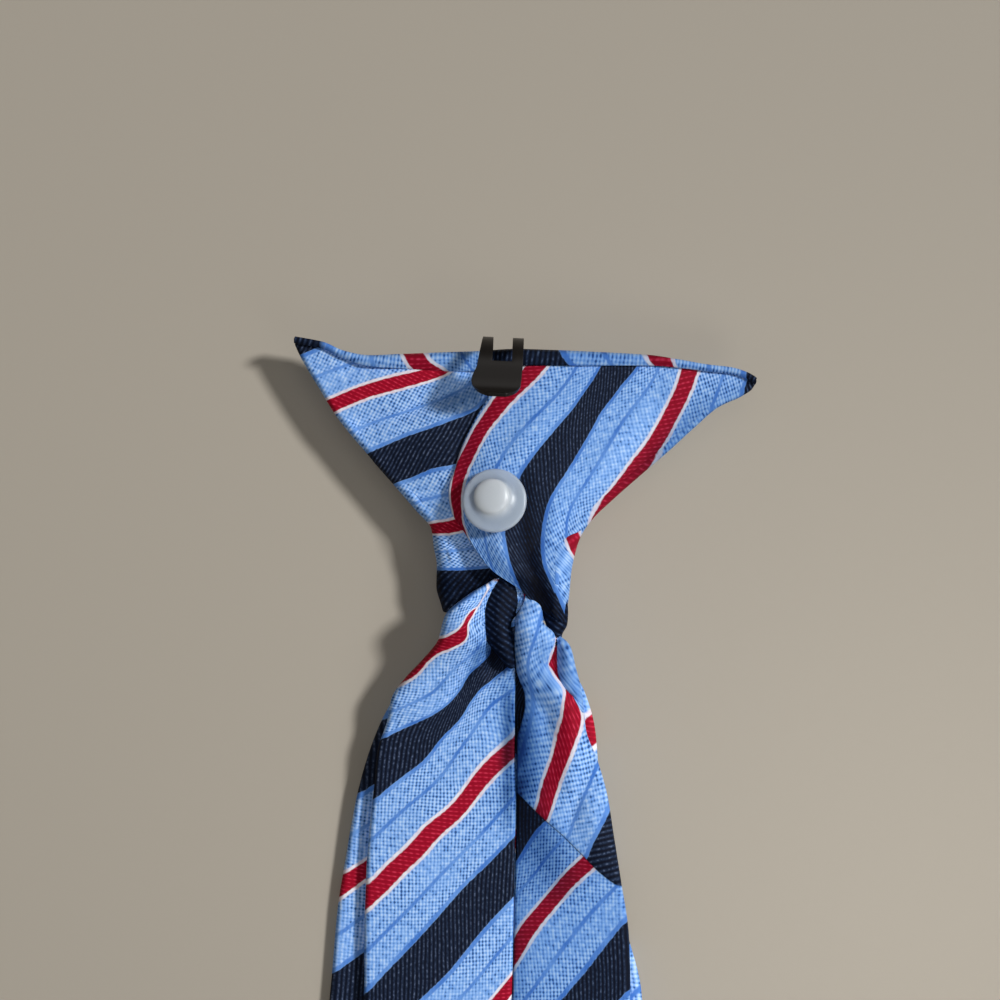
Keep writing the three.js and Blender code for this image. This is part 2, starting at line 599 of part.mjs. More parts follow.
function studGeometry() {
  const footTop = clipSheet / 2 + studFootRadius * Math.sin(radians(studLean)) + clearance;
  const bottom = -studHeadDrop - footTop - studFootThickness;
  const outline = [
    [0, bottom],
    [studFootRadius, bottom],
    [studFootRadius, -studHeadDrop - footTop],
    [studStemRadius, -studHeadDrop - footTop],
    [studStemRadius, 0],
    [studRadius * 0.9, 0],
    [studRadius, studFlange * 0.35],
    [studRadius, studFlange * 0.65],
    [studRadius * 0.93, studFlange * 0.92],
    [studDomeRadius * 1.25, studFlange],
  ].map(([r, z]) => new THREE.Vector2(r, z));
  for (let i = 0; i <= 4; i += 1) {
    const angle = (Math.PI / 2) * (i / 4);
    const r = i === 4 ? 0 : studDomeRadius * Math.cos(angle);
    outline.push(new THREE.Vector2(r, studFlange + studDomeHeight * Math.sin(angle)));
  }
  return studPlaced(new THREE.LatheGeometry(outline, studSides));
}

function part(name, geometry, color, roughness, metalness) {
  const mesh = new THREE.Mesh(geometry, new THREE.MeshStandardMaterial({ color, roughness, metalness }));
  mesh.name = name;
  return mesh;
}

const tie = new THREE.Group();
tie.add(part('knot_wrap', knotWrapGeometry(), 0x7daae4, 0.8, 0));
tie.add(part('top_fold', topFoldGeometry(), 0x7daae4, 0.8, 0));
tie.add(part('front_blade', frontBladeGeometry(), 0x7daae4, 0.8, 0));
tie.add(part('tail_blade', tailBladeGeometry(), 0x7daae4, 0.8, 0));
tie.add(part('clip', clipGeometry(), 0x262421, 0.4, 0.6));
tie.add(part('stud', studGeometry(), 0xb4bac0, 0.35, 0));

const box = new THREE.Box3().setFromObject(tie);
const centre = box.getCenter(new THREE.Vector3());
tie.position.set(-centre.x, -centre.y, -box.min.z);

export default tie;
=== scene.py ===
"""Looks of the striped clip on tie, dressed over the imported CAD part. Blender 4.5.

The tie lies face down with the back of its knot up. Shapes are worked out in millimetres with the
origin at the neck below the knot, as in the CAD source, and put into the row frame at the end.
Folds and stripes are placed where the photograph shows them, through the camera's own view.
"""
import math

import bmesh
import bpy
import numpy as np
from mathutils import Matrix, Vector


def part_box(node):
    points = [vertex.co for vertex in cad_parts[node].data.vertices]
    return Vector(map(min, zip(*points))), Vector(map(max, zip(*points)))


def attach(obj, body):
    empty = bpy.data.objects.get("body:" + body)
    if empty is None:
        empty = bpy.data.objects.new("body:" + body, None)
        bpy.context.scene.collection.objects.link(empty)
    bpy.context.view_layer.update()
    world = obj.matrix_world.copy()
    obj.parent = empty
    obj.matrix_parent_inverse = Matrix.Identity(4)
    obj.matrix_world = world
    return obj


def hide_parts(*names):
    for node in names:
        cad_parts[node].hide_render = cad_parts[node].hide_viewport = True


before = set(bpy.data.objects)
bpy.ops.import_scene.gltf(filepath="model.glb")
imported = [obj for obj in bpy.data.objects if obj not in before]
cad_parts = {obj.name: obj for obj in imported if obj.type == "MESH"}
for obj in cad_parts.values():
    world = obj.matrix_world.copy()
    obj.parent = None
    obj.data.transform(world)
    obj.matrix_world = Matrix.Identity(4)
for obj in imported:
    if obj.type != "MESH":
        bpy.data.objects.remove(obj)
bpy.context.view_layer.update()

MM = 0.001

# Driving sizes in mm: the CAD source's, apart from the top fold's strip, the over wrap's edge and the
# stud's dome
CLOTH = 1.2
SPAN = 91.0
KNOT_HEIGHT = 47.3
DEPTH = 16.0
TOP_ROLL = 2.4
STRIP_GAP, STRIP_LIFT, STRIP_DROP = 1.1, 0.1, 0.7
HEM_SLOPE = 0.55
HEM_RISE = 1.0
EDGE_BULGE, EDGE_SINK, EDGE_SETTLE = 0.9, 0.6, 6.0
BLADE_DROP, BLADE_WIDTH, BLADE_THICK = 411.0, 83.0, 3.0
TAIL_DROP, TAIL_WIDTH, TAIL_THICK = 302.0, 53.5, 2.7
SEAM_GAP = 0.6
SHEET, SHEET_EDGE = 0.8, 0.18
CLIP_GAP, CLIP_GAP_X = 3.75, -2.75
CLIP_X = -3.0
CLIP_TOP = 51.7
CLIP_LOW, CLIP_HIGH = 8.2, 21.0
STUD_X, STUD_Y, STUD_SEAT = -2.9, 19.3, 17.5
STUD_RADIUS, STUD_FLANGE, FLANGE_ROUND = 6.2, 1.5, 0.55
STEM_RADIUS, FOOT_RADIUS, FOOT_THICK = 1.5, 3.0, 1.2
DOME_RADIUS, DOME_HEIGHT, DOME_RIM = 3.45, 1.3, 0.3
DOME_SHIFT, DOME_FROM = (-0.45, 0.6), 1.0
STUD_LEAN, STUD_HEADING = 10.0, 125.0

# The cloth's look: a sheet's thickness and the share of it at the borders, then the stripes
WALL, BORDER_WALL = 0.8, 0.35
PERIOD = 33.4
RED, WHITE, LINE_FROM, LINE_TO, BORDER, BLACK = 1.35, 2.1, 6.35, 7.05, 11.5, 12.35
WEAVE = 0.72
# Mean lightness of the over wrap, the tail and the small folds of cloth under them, as painted shade that
# darkens their colour
OVER_WRAP_SHADE_LEVEL, TAIL_SHADE_LEVEL, PETAL_SHADE_LEVEL = 0.82, 0.94, 0.45
# Powers of the painted lightness in red, green and blue, which make painted shade bluer
SHADE_POWERS = (1.35, 1, 0.72)
# Place across the bias seam where a piece has no such seam
NO_SEAM = -9.0

# Change of the pattern's two places for each mm across the cloth's hidden front, and down the blades
KNOT_SLOPE, BLADE_SLOPE, DOWN_SLOPE = -0.6, -0.7, 0.707
# Rows of a blade's grid in which the pattern passes from the picture's to the straight one, and how
# many pixels past the picture's lower edge the picture's pattern is still read
UNROLL_ROWS, MARGIN = 30, 10

# How much sharper a tucked crease is than the seam; both get a thin dark line of painted shade where the
# cloth folds over
TUCK_SHARPNESS = 12

# Camera: straight above the knot, turned by the lean of the tie in the photograph
CAMERA_HEIGHT = 400.0
SCALE_HEIGHT = 10.0
MM_PER_PIXEL = 0.196
LEAN = math.radians(2.7)
VIEW_CENTRE = (-1.9, 19.53)
FRAME_PIXELS = 1000
# Column of pixels at the tail's seam, and how far the seam's shade reaches to the right
SEAM_U, SEAM_SHADE = 515, 14
# Row of pixels at the neck, and the row from which the right flap shows its second length of cloth
NECK_V, BIAS_FROM_V = 600, 745

clip_low, clip_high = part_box("clip")
NECK = np.array([(clip_low.x + clip_high.x) / 2 - CLIP_X * MM, clip_high.y - CLIP_TOP * MM, 0.0])


def pixel_of(points):
    """Photograph pixel (u, v) at which the camera sees each point."""
    scale = (CAMERA_HEIGHT - SCALE_HEIGHT) / MM_PER_PIXEL / (CAMERA_HEIGHT - points[..., 2])
    x = points[..., 0] - VIEW_CENTRE[0]
    y = points[..., 1] - VIEW_CENTRE[1]
    u = FRAME_PIXELS / 2 + scale * (math.cos(LEAN) * x + math.sin(LEAN) * y)
    v = FRAME_PIXELS / 2 + scale * (math.sin(LEAN) * x - math.cos(LEAN) * y)
    return u, v


def at_pixel(u, v, z):
    """Point at height z that the camera sees at a pixel."""
    u, v, z = np.broadcast_arrays(np.asarray(u, float), v, z)
    scale = (CAMERA_HEIGHT - SCALE_HEIGHT) / MM_PER_PIXEL / (CAMERA_HEIGHT - z)
    du, dv = (u - FRAME_PIXELS / 2) / scale, (v - FRAME_PIXELS / 2) / scale
    x = VIEW_CENTRE[0] + math.cos(LEAN) * du + math.sin(LEAN) * dv
    y = VIEW_CENTRE[1] + math.sin(LEAN) * du - math.cos(LEAN) * dv
    return np.stack([x, y, z], axis=-1)


# Tables

def columns(names, rows):
    """A table as one array for each of its named columns."""
    return dict(zip(names.split(), np.array(rows, float).T))


def read(table, place):
    """Smooth curves through a table's rows, read at any places of its first column."""
    key, *names = table
    x = table[key]
    place = np.asarray(place, float)
    i = np.clip(np.searchsorted(x, place, side="right") - 1, 0, len(x) - 2)
    step = (x[i + 1] - x[i])
    t = np.clip((place - x[i]) / step, 0, 1)
    result = {key: place}
    for name in names:
        y = table[name]
        slope = np.diff(y) / np.diff(x)
        product = slope[:-1] * slope[1:]
        total = np.where(product > 0, slope[:-1] + slope[1:], 1)
        inner = np.where(product > 0, 2 * product / total, 0)
        tangent = np.concatenate([slope[:1], inner, slope[-1:]])
        result[name] = ((2 * t**3 - 3 * t**2 + 1) * y[i] + (t**3 - 2 * t**2 + t) * step * tangent[i]
                        + (3 * t**2 - 2 * t**3) * y[i + 1] + (t**3 - t**2) * step * tangent[i + 1])
    return result


def smoothstep(low, high, value):
    t = np.clip((value - low) / (high - low), 0, 1)
    return t * t * (3 - 2 * t)


def lerp(a, b, t):
    return a + (b - a) * t


# Knot sections, shares of the span, the knot's height and its depth, as in the CAD source
KNOT = columns("up left right edge inner fold low_l high_l low_r high_r front under over", [
    (-0.085, -0.134, 0.136, 0.085, 0.049, 0.163, 0.35, 0.65, 0.363, 0.925, 0.319, 0.644, 0.956),
    (-0.021, -0.143, 0.137, 0.06, 0.049, 0.163, 0.35, 0.65, 0.363, 0.925, 0.319, 0.644, 0.956),
    (0.042, -0.152, 0.14, 0.035, 0.049, 0.163, 0.344, 0.656, 0.35, 0.925, 0.3, 0.644, 0.963),
    (0.127, -0.153, 0.142, -0.033, 0.049, 0.156, 0.35, 0.675, 0.338, 0.906, 0.238, 0.65, 0.963),
    (0.211, -0.162, 0.149, -0.071, 0.044, 0.144, 0.375, 0.7, 0.35, 0.863, 0.163, 0.688, 0.969),
    (0.283, -0.169, 0.16, -0.097, 0.038, 0.131, 0.394, 0.694, 0.375, 0.788, 0.106, 0.794, 0.969),
    (0.359, -0.205, 0.185, -0.124, 0.033, 0.119, 0.406, 0.675, 0.4, 0.725, 0.063, 0.863, 0.963),
    (0.444, -0.247, 0.227, -0.132, 0.033, 0.106, 0.419, 0.656, 0.419, 0.681, 0.038, 0.863, 0.963),
    (0.55, -0.3, 0.284, -0.116, 0.038, 0.094, 0.438, 0.638, 0.438, 0.65, 0.038, 0.844, 0.944),
    (0.655, -0.348, 0.342, -0.093, 0.055, 0.081, 0.456, 0.625, 0.456, 0.631, 0.056, 0.825, 0.925),
    (0.761, -0.395, 0.396, -0.069, 0.077, 0.069, 0.475, 0.625, 0.475, 0.625, 0.094, 0.8, 0.9),
    (0.846, -0.429, 0.44, -0.048, 0.093, 0.063, 0.494, 0.631, 0.494, 0.631, 0.138, 0.781, 0.881),
    (0.909, -0.454, 0.49, -0.037, 0.104, 0.059, 0.513, 0.631, 0.513, 0.631, 0.181, 0.769, 0.869),
    (0.962, -0.473, 0.514, -0.027, 0.115, 0.056, 0.525, 0.638, 0.525, 0.638, 0.219, 0.756, 0.856),
    (1, -0.484, 0.521, -0.022, 0.121, 0.056, 0.531, 0.644, 0.531, 0.644, 0.25, 0.75, 0.85),
])
TOP = columns("across rise lap roll", [
    (-0.484, 1.05, 0.023, 0.8), (-0.418, 1.032, 0.023, 0.8), (-0.372, 1, 0.029, 1.0),
    (-0.322, 0.987, 0.045, 1.7), (-0.253, 0.998, 0.061, 2.4), (-0.14, 1.017, 0.085, 2.4),
    (-0.088, 1.025, 0.089, 2.4), (0.015, 1.042, 0.074, 2.4), (0.115, 1.044, 0.066, 2.4),
    (0.194, 1.044, 0.058, 2.2), (0.28, 1.042, 0.046, 1.75), (0.349, 1.028, 0.033, 1.2),
    (0.411, 1.012, 0.024, 0.85), (0.458, 1.006, 0.023, 0.8), (0.495, 0.989, 0.023, 0.8),
    (0.521, 0.962, 0.023, 0.8),
])
BLADE = columns("down left right seam under thick open", [
    (-0.024, -0.082, 0.08, 0, 0.413, 0.9, 0), (0.01, -0.082, 0.08, 0, 0.413, 0.9, 0),
    (0.02, -0.137, 0.137, 0, 0.325, 0.95, 0), (0.03, -0.175, 0.163, 0, 0.263, 1, 0),
    (0.044, -0.235, 0.205, 0, 0.206, 1, 0), (0.061, -0.282, 0.233, 0, 0.163, 1, 0),
    (0.08, -0.314, 0.246, 0, 0.131, 1, 0), (0.1, -0.336, 0.261, 0, 0.094, 1, 0),
    (0.127, -0.354, 0.294, 0, 0.063, 1, 0), (0.156, -0.37, 0.329, 0, 0.038, 1, 0),
    (0.19, -0.377, 0.377, 0, 0.024, 1, 0), (0.243, -0.392, 0.395, 0, 0.02, 1, 0),
    (0.365, -0.418, 0.42, 0, 0.02, 1, 0), (0.535, -0.451, 0.453, 0, 0.02, 1, 0),
    (0.735, -0.478, 0.479, 0, 0.02, 1, 0), (0.82, -0.489, 0.49, 0, 0.01, 1, 0.45),
    (0.899, -0.5, 0.5, 0, 0, 1, 0.86), (0.925, -0.373, 0.373, 0, 0.004, 1, 0.82),
    (0.95, -0.25, 0.25, 0, 0.008, 1, 0.74), (0.975, -0.128, 0.128, 0, 0.013, 1, 0.6),
    (0.996, -0.024, 0.024, 0, 0.019, 1, 0.2),
])
TAIL = columns("down left right seam under thick open", [
    (-0.022, -0.009, 0.12, 0.069, 0.725, 0.926, 0), (-0.013, -0.05, 0.135, 0.069, 0.719, 0.926, 0),
    (-0.002, -0.14, 0.14, 0.069, 0.719, 0.926, 0), (0.012, -0.22, 0.145, 0.042, 0.719, 0.926, 0),
    (0.028, -0.242, 0.25, 0.041, 0.575, 1, 0), (0.042, -0.297, 0.275, 0.05, 0.481, 1, 0),
    (0.055, -0.359, 0.298, 0.056, 0.431, 1, 0), (0.068, -0.404, 0.312, 0.058, 0.406, 1, 0),
    (0.083, -0.417, 0.325, 0.062, 0.375, 1, 0), (0.103, -0.447, 0.374, 0.067, 0.353, 1, 0),
    (0.126, -0.454, 0.417, 0.074, 0.322, 1, 0), (0.152, -0.464, 0.448, 0.08, 0.294, 1, 0),
    (0.179, -0.469, 0.48, 0.083, 0.269, 1, 0), (0.219, -0.467, 0.523, 0.09, 0.244, 1, 0),
    (0.258, -0.458, 0.537, 0.095, 0.237, 1, 0), (0.331, -0.454, 0.54, 0.095, 0.23, 1, 0),
    (0.53, -0.454, 0.542, 0.095, 0.23, 1, 0), (0.762, -0.464, 0.548, 0.09, 0.23, 1, 0),
    (0.83, -0.466, 0.55, 0.08, 0.23, 1, 0.5), (0.911, -0.467, 0.551, 0.042, 0.23, 1, 0.86),
    (0.94, -0.3, 0.384, 0.042, 0.23, 1, 0.78), (0.97, -0.13, 0.214, 0.042, 0.23, 1, 0.6),
    (0.996, 0.008, 0.076, 0.042, 0.23, 1, 0.2),
])

# Stripes: each line is a stripe edge, as its distance in mm across the stripes from a red centre, and
# the photograph's pixels (u, v) that it passes
LEFT_LAYER_STRIPES = [
    (-BLACK, [(300, 355), (312, 350), (324, 345)]),
    (-RED, [(327, 400), (362, 386), (394, 376.5), (420, 371)]),
    (RED, [(334, 412), (362, 399.6), (394, 390.4), (423, 382), (443, 375.5)]),
    (BLACK, [(369, 452.7), (402, 438.4), (433, 428), (453, 420), (478, 410), (487, 400)]),
    (PERIOD - BLACK, [(394, 483), (413, 477), (433, 468), (453, 465)]),
    (PERIOD - RED, [(430, 523), (443, 522), (453, 519)]),
    (PERIOD + RED, [(439, 533), (449, 534), (461, 530.5)]),
    (PERIOD + BLACK, [(435, 570), (464, 570), (488, 568)]),
    (2 * PERIOD - BLACK, [(440, 614), (470, 614)]),
]
OVER_WRAP_STRIPES = [
    (-RED, [(522, 371), (496, 397), (482, 418), (468, 442), (457, 463), (453, 481), (451, 498), (455, 514),
            (459, 530)]),
    (RED, [(542, 372), (519, 395), (502, 414), (486, 434), (473, 461), (464, 483), (462, 504), (462, 524)]),
    (BLACK, [(600, 368), (592, 382), (574, 408), (553, 432), (535, 454), (522, 473), (512, 500), (505, 534),
             (509, 558), (520, 586)]),
    (PERIOD - BLACK, [(637, 366), (620, 386), (600, 412), (583, 443), (564, 475), (548, 501), (541, 532),
                      (542, 564), (553, 588), (565, 621)]),
    (PERIOD - RED, [(682, 365), (676, 386), (667, 405), (654, 430), (643, 447), (632, 460), (623, 473),
                    (610, 490), (597, 507), (588, 522)]),
    (PERIOD + RED, [(700, 365), (692, 387), (680, 412), (667, 437), (656, 455), (645, 470)]),
    (PERIOD - 6, [(572, 548), (574, 575)]),
    (PERIOD + BLACK, [(748, 377), (744, 389)]),
]
# The short red stripe at the over wrap's right edge: the corner that it starts from, the slope of its
# upper border, and the pixels that it lies between
SHORT_RED_CORNER, SHORT_RED_SLOPE = (563, 541), 0.7
SHORT_RED_LEFT, SHORT_RED_BOTTOM = 555, 585
# Creases where the cloth tucks under and the pattern starts anew to their right
SHORT_RED = columns("v u", [(533, 563), (540, 566.4), (548, 568.6), (557, 573), (566, 578), (575, 583)])
LEFT_LOBE_TUCK = columns("v u", [(580, 490), (588, 486), (600, 479), (612, 473), (625, 467), (639, 467.5)])
RIGHT_LOBE_TUCK = columns("v u", [
    (606, 560), (625, 558.5), (640, 557), (655, 557.5), (672, 558.5), (680, 562), (688, 566.5), (695, 570.5),
    (703, 575), (712, 580),
])
STRIP_STRIPES = [
    (-RED, [(402, 354), (412, 367)]),
    (RED, [(423, 355), (435, 366), (447, 371)]),
    (BLACK, [(486, 351), (499, 368)]),
    (PERIOD - BLACK, [(557, 351), (572, 368)]),
    (PERIOD - RED, [(643, 354), (653, 363)]),
    (PERIOD + RED, [(666, 355), (673, 364)]),
    (PERIOD + BLACK, [(745, 372), (752, 386)]),
    (-BLACK, [(327, 343), (318, 350)]),
]
LEFT_FLAP_STRIPES = [
    (-RED, [(424, 657), (436, 641), (453, 632), (464, 625), (468, 616), (472, 611)]),
    (RED, [(427, 661), (436, 654), (451, 648), (466, 640), (468, 630), (470, 620), (473, 612)]),
    (-5, [(475, 602), (481, 592)]),
    (BLACK, [(388, 736), (415, 723), (432, 715), (452, 700), (461, 688), (470, 671), (480, 663)]),
    (PERIOD - BLACK, [(371, 803), (390, 786), (425, 759), (444, 734), (469, 702), (480, 688), (494, 679),
                      (508, 668)]),
    (PERIOD - RED, [(365, 888), (386, 866), (425, 826), (473, 776), (513, 738)]),
    (PERIOD + RED, [(365, 912), (390, 888), (425, 853), (463, 815), (515, 757)]),
    (PERIOD + BLACK, [(365, 995), (390, 968), (425, 931), (463, 888), (513, 838)]),
    (2 * PERIOD - BLACK, [(421, 998), (448, 972), (482, 930), (513, 897)]),
    (2 * PERIOD - RED, [(497, 993), (509, 978)]),
]
RIGHT_FLAP_STRIPES = [
    (-RED, [(566, 688), (564, 709), (559, 729), (552, 759), (542, 784), (538, 804), (561, 681), (554, 673),
            (547, 665), (552, 653), (556, 643)]),
    (RED, [(574, 701), (580, 714), (579, 727), (571, 752), (561, 779), (554, 799), (548, 817), (563, 680),
           (559, 672), (559, 661), (559, 650)]),
    (BLACK, [(609, 807), (606, 818), (597, 836), (591, 849)]),
]
BIAS_STRIPES = [
    (-BLACK, [(546, 820), (536, 829), (525, 846), (517, 860)]),
    (-RED, [(583, 856), (562, 876), (543, 899), (521, 925), (513, 940)]),
    (RED, [(594, 867), (575, 884), (556, 906), (534, 934), (515, 965)]),
    (BLACK, [(624, 923), (606, 945), (586, 971), (562, 999)]),
    (PERIOD - BLACK, [(630, 987), (619, 999)]),
]
FRONT_LEFT_STRIPES = [
    (-BLACK, [(356, 796), (368, 788)]),
    (-RED, [(342, 876), (362, 863)]),
    (RED, [(339, 899), (362, 881)]),
    (BLACK, [(329, 977), (362, 953)]),
]
FRONT_RIGHT_STRIPES = [
    (0, [(594, 727), (564, 757)]),
    (PERIOD / 2, [(628, 905), (598, 935)]),
    (PERIOD - BLACK, [(634, 938), (604, 968)]),
]
# The seam across the right flap where two lengths of cloth are joined on the bias, and its slant: mm
# across it for each mm down
BIAS_SLANT = 0.72
BIAS_SEAM = columns("u v", [
    (500, 775), (521, 795), (540, 814), (559, 831), (581, 852), (607, 877), (622, 887), (650, 905),
])


def stripe_map(lines, stiffness=0.02):
    """Distance across the stripes at any pixel: a thin-plate spline through the stripe edges."""
    points = np.array([(u, v) for _, edge in lines for u, v in edge], float) / 100
    values = np.array([phase for phase, edge in lines for _ in edge], float)

    def bend(a, b):
        d2 = ((a[:, None, :] - b[None, :, :]) ** 2).sum(-1)
        return d2 * np.log(d2 + 1e-9)

    plane = np.column_stack([np.ones(len(points)), points])
    system = np.block([[bend(points, points) + stiffness * np.eye(len(points)), plane],
                       [plane.T, np.zeros((3, 3))]])
    weights = np.linalg.solve(system, np.concatenate([values, np.zeros(3)]))

    def phase(u, v):
        place = np.column_stack([np.ravel(u), np.ravel(v)]) / 100
        result = bend(place, points) @ weights[:-3]
        result += np.column_stack([np.ones(len(place)), place]) @ weights[-3:]
        return result.reshape(np.shape(u))

    return phase


def right_of(line, u, v):
    """Distance in mm to the right of a crease, and negative past its two ends as well."""
    ends = np.minimum(v - line["v"][0], line["v"][-1] - v)
    return np.minimum(u - read(line, v)["u"], ends) * MM_PER_PIXEL


def along(points, degrees):
    """Distance in mm along stripes that rise to the right at an angle."""
    angle = math.radians(degrees)
    return points[..., 0] * math.cos(angle) + points[..., 1] * math.sin(angle)


def bridge(values, grid, start, end, slope):
    """Fills columns start to end between two known ones evenly, keeping near a slope across the cloth,
    and moves what follows by whole periods. Returns the arc length and the slope of each row."""
    lengths = np.linalg.norm(np.diff(grid, axis=1), axis=2)
    arc = np.concatenate([np.zeros((len(grid), 1)), np.cumsum(lengths, axis=1)], axis=1)
    first, last = values[:, start - 1:start], values[:, end:end + 1]
    run = arc[:, end:end + 1] - arc[:, start - 1:start]
    turns = np.round(np.median(first + slope * run - last) / PERIOD)
    values[:, end:] += turns * PERIOD
    rate = (values[:, end:end + 1] - first) / run
    values[:, start:end] = first + rate * (arc[:, start:end] - arc[:, start - 1:start])
    return arc, rate


def unroll(values, grid, bridged, centre, last_row, down_slope):
    """Past the last row in the picture the pattern runs on straight, as printed on the flat cloth."""
    arc, rate = bridged
    here = grid[last_row]
    moved = grid[:, centre:centre + 1, 0] - here[centre, 0]
    step = rate[last_row] * (moved + arc - arc[:, centre:centre + 1])
    plain = values[last_row, centre] + step + down_slope * (here[centre, 1] - grid[:, centre:centre + 1, 1])
    share = smoothstep(0, UNROLL_ROWS, np.arange(len(grid)) - last_row)[:, None]
    values[:] = lerp(values, plain, share)


# Meshes

def add_object(name, data):
    """An object in the scene for a mesh, a light or a camera."""
    made = bpy.data.objects.new(name, data)
    bpy.context.scene.collection.objects.link(made)
    return made


def mesh_object(name, vertices, faces):
    """A smooth mesh from points in mm, as an object in the row frame."""
    mesh = bpy.data.meshes.new(name)
    mesh.from_pydata((vertices * MM + NECK).tolist(), [], faces)
    mesh.validate()
    mesh.shade_smooth()
    return add_object(name, mesh)


def thick_sheet(grid, half):
    """Vertices and faces of a closed sheet around a grid of points, from its half thickness at each."""
    normal = np.cross(np.gradient(grid, axis=1), np.gradient(grid, axis=0))
    normal /= np.linalg.norm(normal, axis=2, keepdims=True) + 1e-12
    push = normal * half[..., None]
    vertices = np.concatenate([(grid + push).reshape(-1, 3), (grid - push).reshape(-1, 3)])
    index = np.arange(half.size).reshape(half.shape)
    corners = (index[:-1, :-1], index[:-1, 1:], index[1:, 1:], index[1:, :-1])
    upper = np.column_stack([corner.ravel() for corner in corners])
    faces = [upper, upper[:, [0, 3, 2, 1]] + half.size]
    for line in (index[:, 0], index[::-1, -1], index[0, ::-1], index[-1]):
        faces.append(np.column_stack([line[:-1], line[1:], line[1:] + half.size, line[:-1] + half.size]))
    return vertices, np.concatenate(faces).tolist()


def cloth_sheet(name, grid, stripes, beyond=None, bias=None, painted_light=None, wall=WALL):
    """Closed sheet of cloth around a grid of points at mid cloth, with rounded borders. stripes is the
    grid's (across, along) place in the pattern; beyond is that of a second length joined on the bias.
    The lightness grid is painted shade and painted light: it scales the cloth's colour, darker where folds,
    hollows and higher cloth shade it."""
    half = np.full(grid.shape[:2], wall / 2)
    for border in (half[0], half[-1], half[:, 0], half[:, -1]):
        border *= BORDER_WALL
    piece = mesh_object(name, *thick_sheet(grid, half))
    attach(piece, "root")
    mesh = piece.data
    corner = np.zeros(len(mesh.loops), int)
    mesh.loops.foreach_get("vertex_index", corner)
    for layer, uv in (("stripes", stripes), ("beyond", stripes if beyond is None else beyond)):
        flat = np.tile(uv.reshape(-1, 2), (2, 1))
        mesh.uv_layers.new(name=layer).data.foreach_set("uv", (flat[corner] * MM).ravel())
    seam = np.full(half.shape, NO_SEAM) if bias is None else bias
    side = mesh.attributes.new("bias", "FLOAT", "POINT")
    side.data.foreach_set("value", np.tile(seam.ravel(), 2))
    # Painted shade and painted light: a lightness per point that multiplies the colour, bluer where it is
    # dark
    light = np.ones(half.shape) if painted_light is None else np.clip(painted_light, 0.05, 1.3)
    shade_values = np.ones((2 * half.size, 4))
    shade_values[:, :3] = np.tile(light.ravel(), 2)[:, None] ** np.array(SHADE_POWERS)
    shade = mesh.color_attributes.new("painted_light", "FLOAT_COLOR", "POINT")
    shade.data.foreach_set("color", shade_values.ravel())
    mesh.materials.append(CLOTH_LOOK)
    return piece


# Materials

def srgb(red, green, blue):
    """Linear colour from 0 to 255 values."""
    channels = [value / 255 for value in (red, green, blue)]
    return (*[c / 12.92 if c <= 0.04045 else ((c + 0.055) / 1.055) ** 2.4 for c in channels], 1)


class Shader:
    """Adds and joins the nodes of one material."""

    def __init__(self, name):
        self.material = bpy.data.materials.new(name)
        self.material.use_nodes = True
        self.tree = self.material.node_tree
        self.surface = self.tree.nodes["Principled BSDF"]

    def node(self, kind, inputs=(), **settings):
        made = self.tree.nodes.new("ShaderNode" + kind)
        for key, value in settings.items():
            setattr(made, key, value)
        for key, value in dict(inputs).items():
            self.put(made.inputs[key], value)
        return made

    def put(self, socket, value):
        if isinstance(value, bpy.types.NodeSocket):
            self.tree.links.new(value, socket)
        elif isinstance(value, bpy.types.Node):
            self.tree.links.new(value.outputs[0], socket)
        else:
            socket.default_value = value

    def math(self, operation, *values):
        made = self.node("Math", operation=operation)
        for socket, value in zip(made.inputs, values):
            self.put(socket, value)
        return made.outputs[0]

    def wave(self, value, length, shift=0.0):
        """Cosine of a distance, with one cycle to a length, all in metres."""
        turn = self.math("MULTIPLY_ADD", value, 2 * math.pi / length, shift)
        return self.math("COSINE", turn)

    def ramp(self, value, stops):
        made = self.node("ValToRGB", {0: value})
        elements = made.color_ramp.elements
        while len(elements) < len(stops):
            elements.new(0.5)
        for element, (position, *color) in zip(elements, stops):
            element.position = position
            element.color = srgb(*color)
        return made.outputs[0]

    def mix(self, factor, a, b, blend="MIX"):
        made = self.node("Mix", {"Factor": factor, "A": a, "B": b}, data_type="RGBA", blend_type=blend)
        return made.outputs["Result"]

    def noise(self, scale, detail=2.0, place=None):
        inputs = {"Scale": scale, "Detail": detail}
        if place is not None:
            inputs["Vector"] = place
        return self.node("TexNoise", inputs).outputs[0]

    def shaken(self, noise, size, value=0.0):
        """A value moved up and down by a noise, by a size in all."""
        return self.math("MULTIPLY_ADD", self.math("SUBTRACT", noise, 0.5), size, value)

    def dress(self, color, height, strength, depth, values):
        """Colour, relief and constant values of the surface. Returns the material."""
        relief_of = {"Height": height, "Strength": strength, "Distance": depth * MM}
        inputs = {"Base Color": color, "Normal": self.node("Bump", relief_of), **values}
        for name, value in inputs.items():
            self.put(self.surface.inputs[name], value)
        return self.material


def band(shader, distance, start, end, soft=0.16):
    """1 where a distance across the stripes lies from start to end, with soft sides, all in mm."""
    sides = [{0: distance, 1: (side - soft / 2) * MM, 2: (side + soft / 2) * MM} for side in (start, end)]
    return shader.math("SUBTRACT", *[shader.node("MapRange", side).outputs[0] for side in sides])


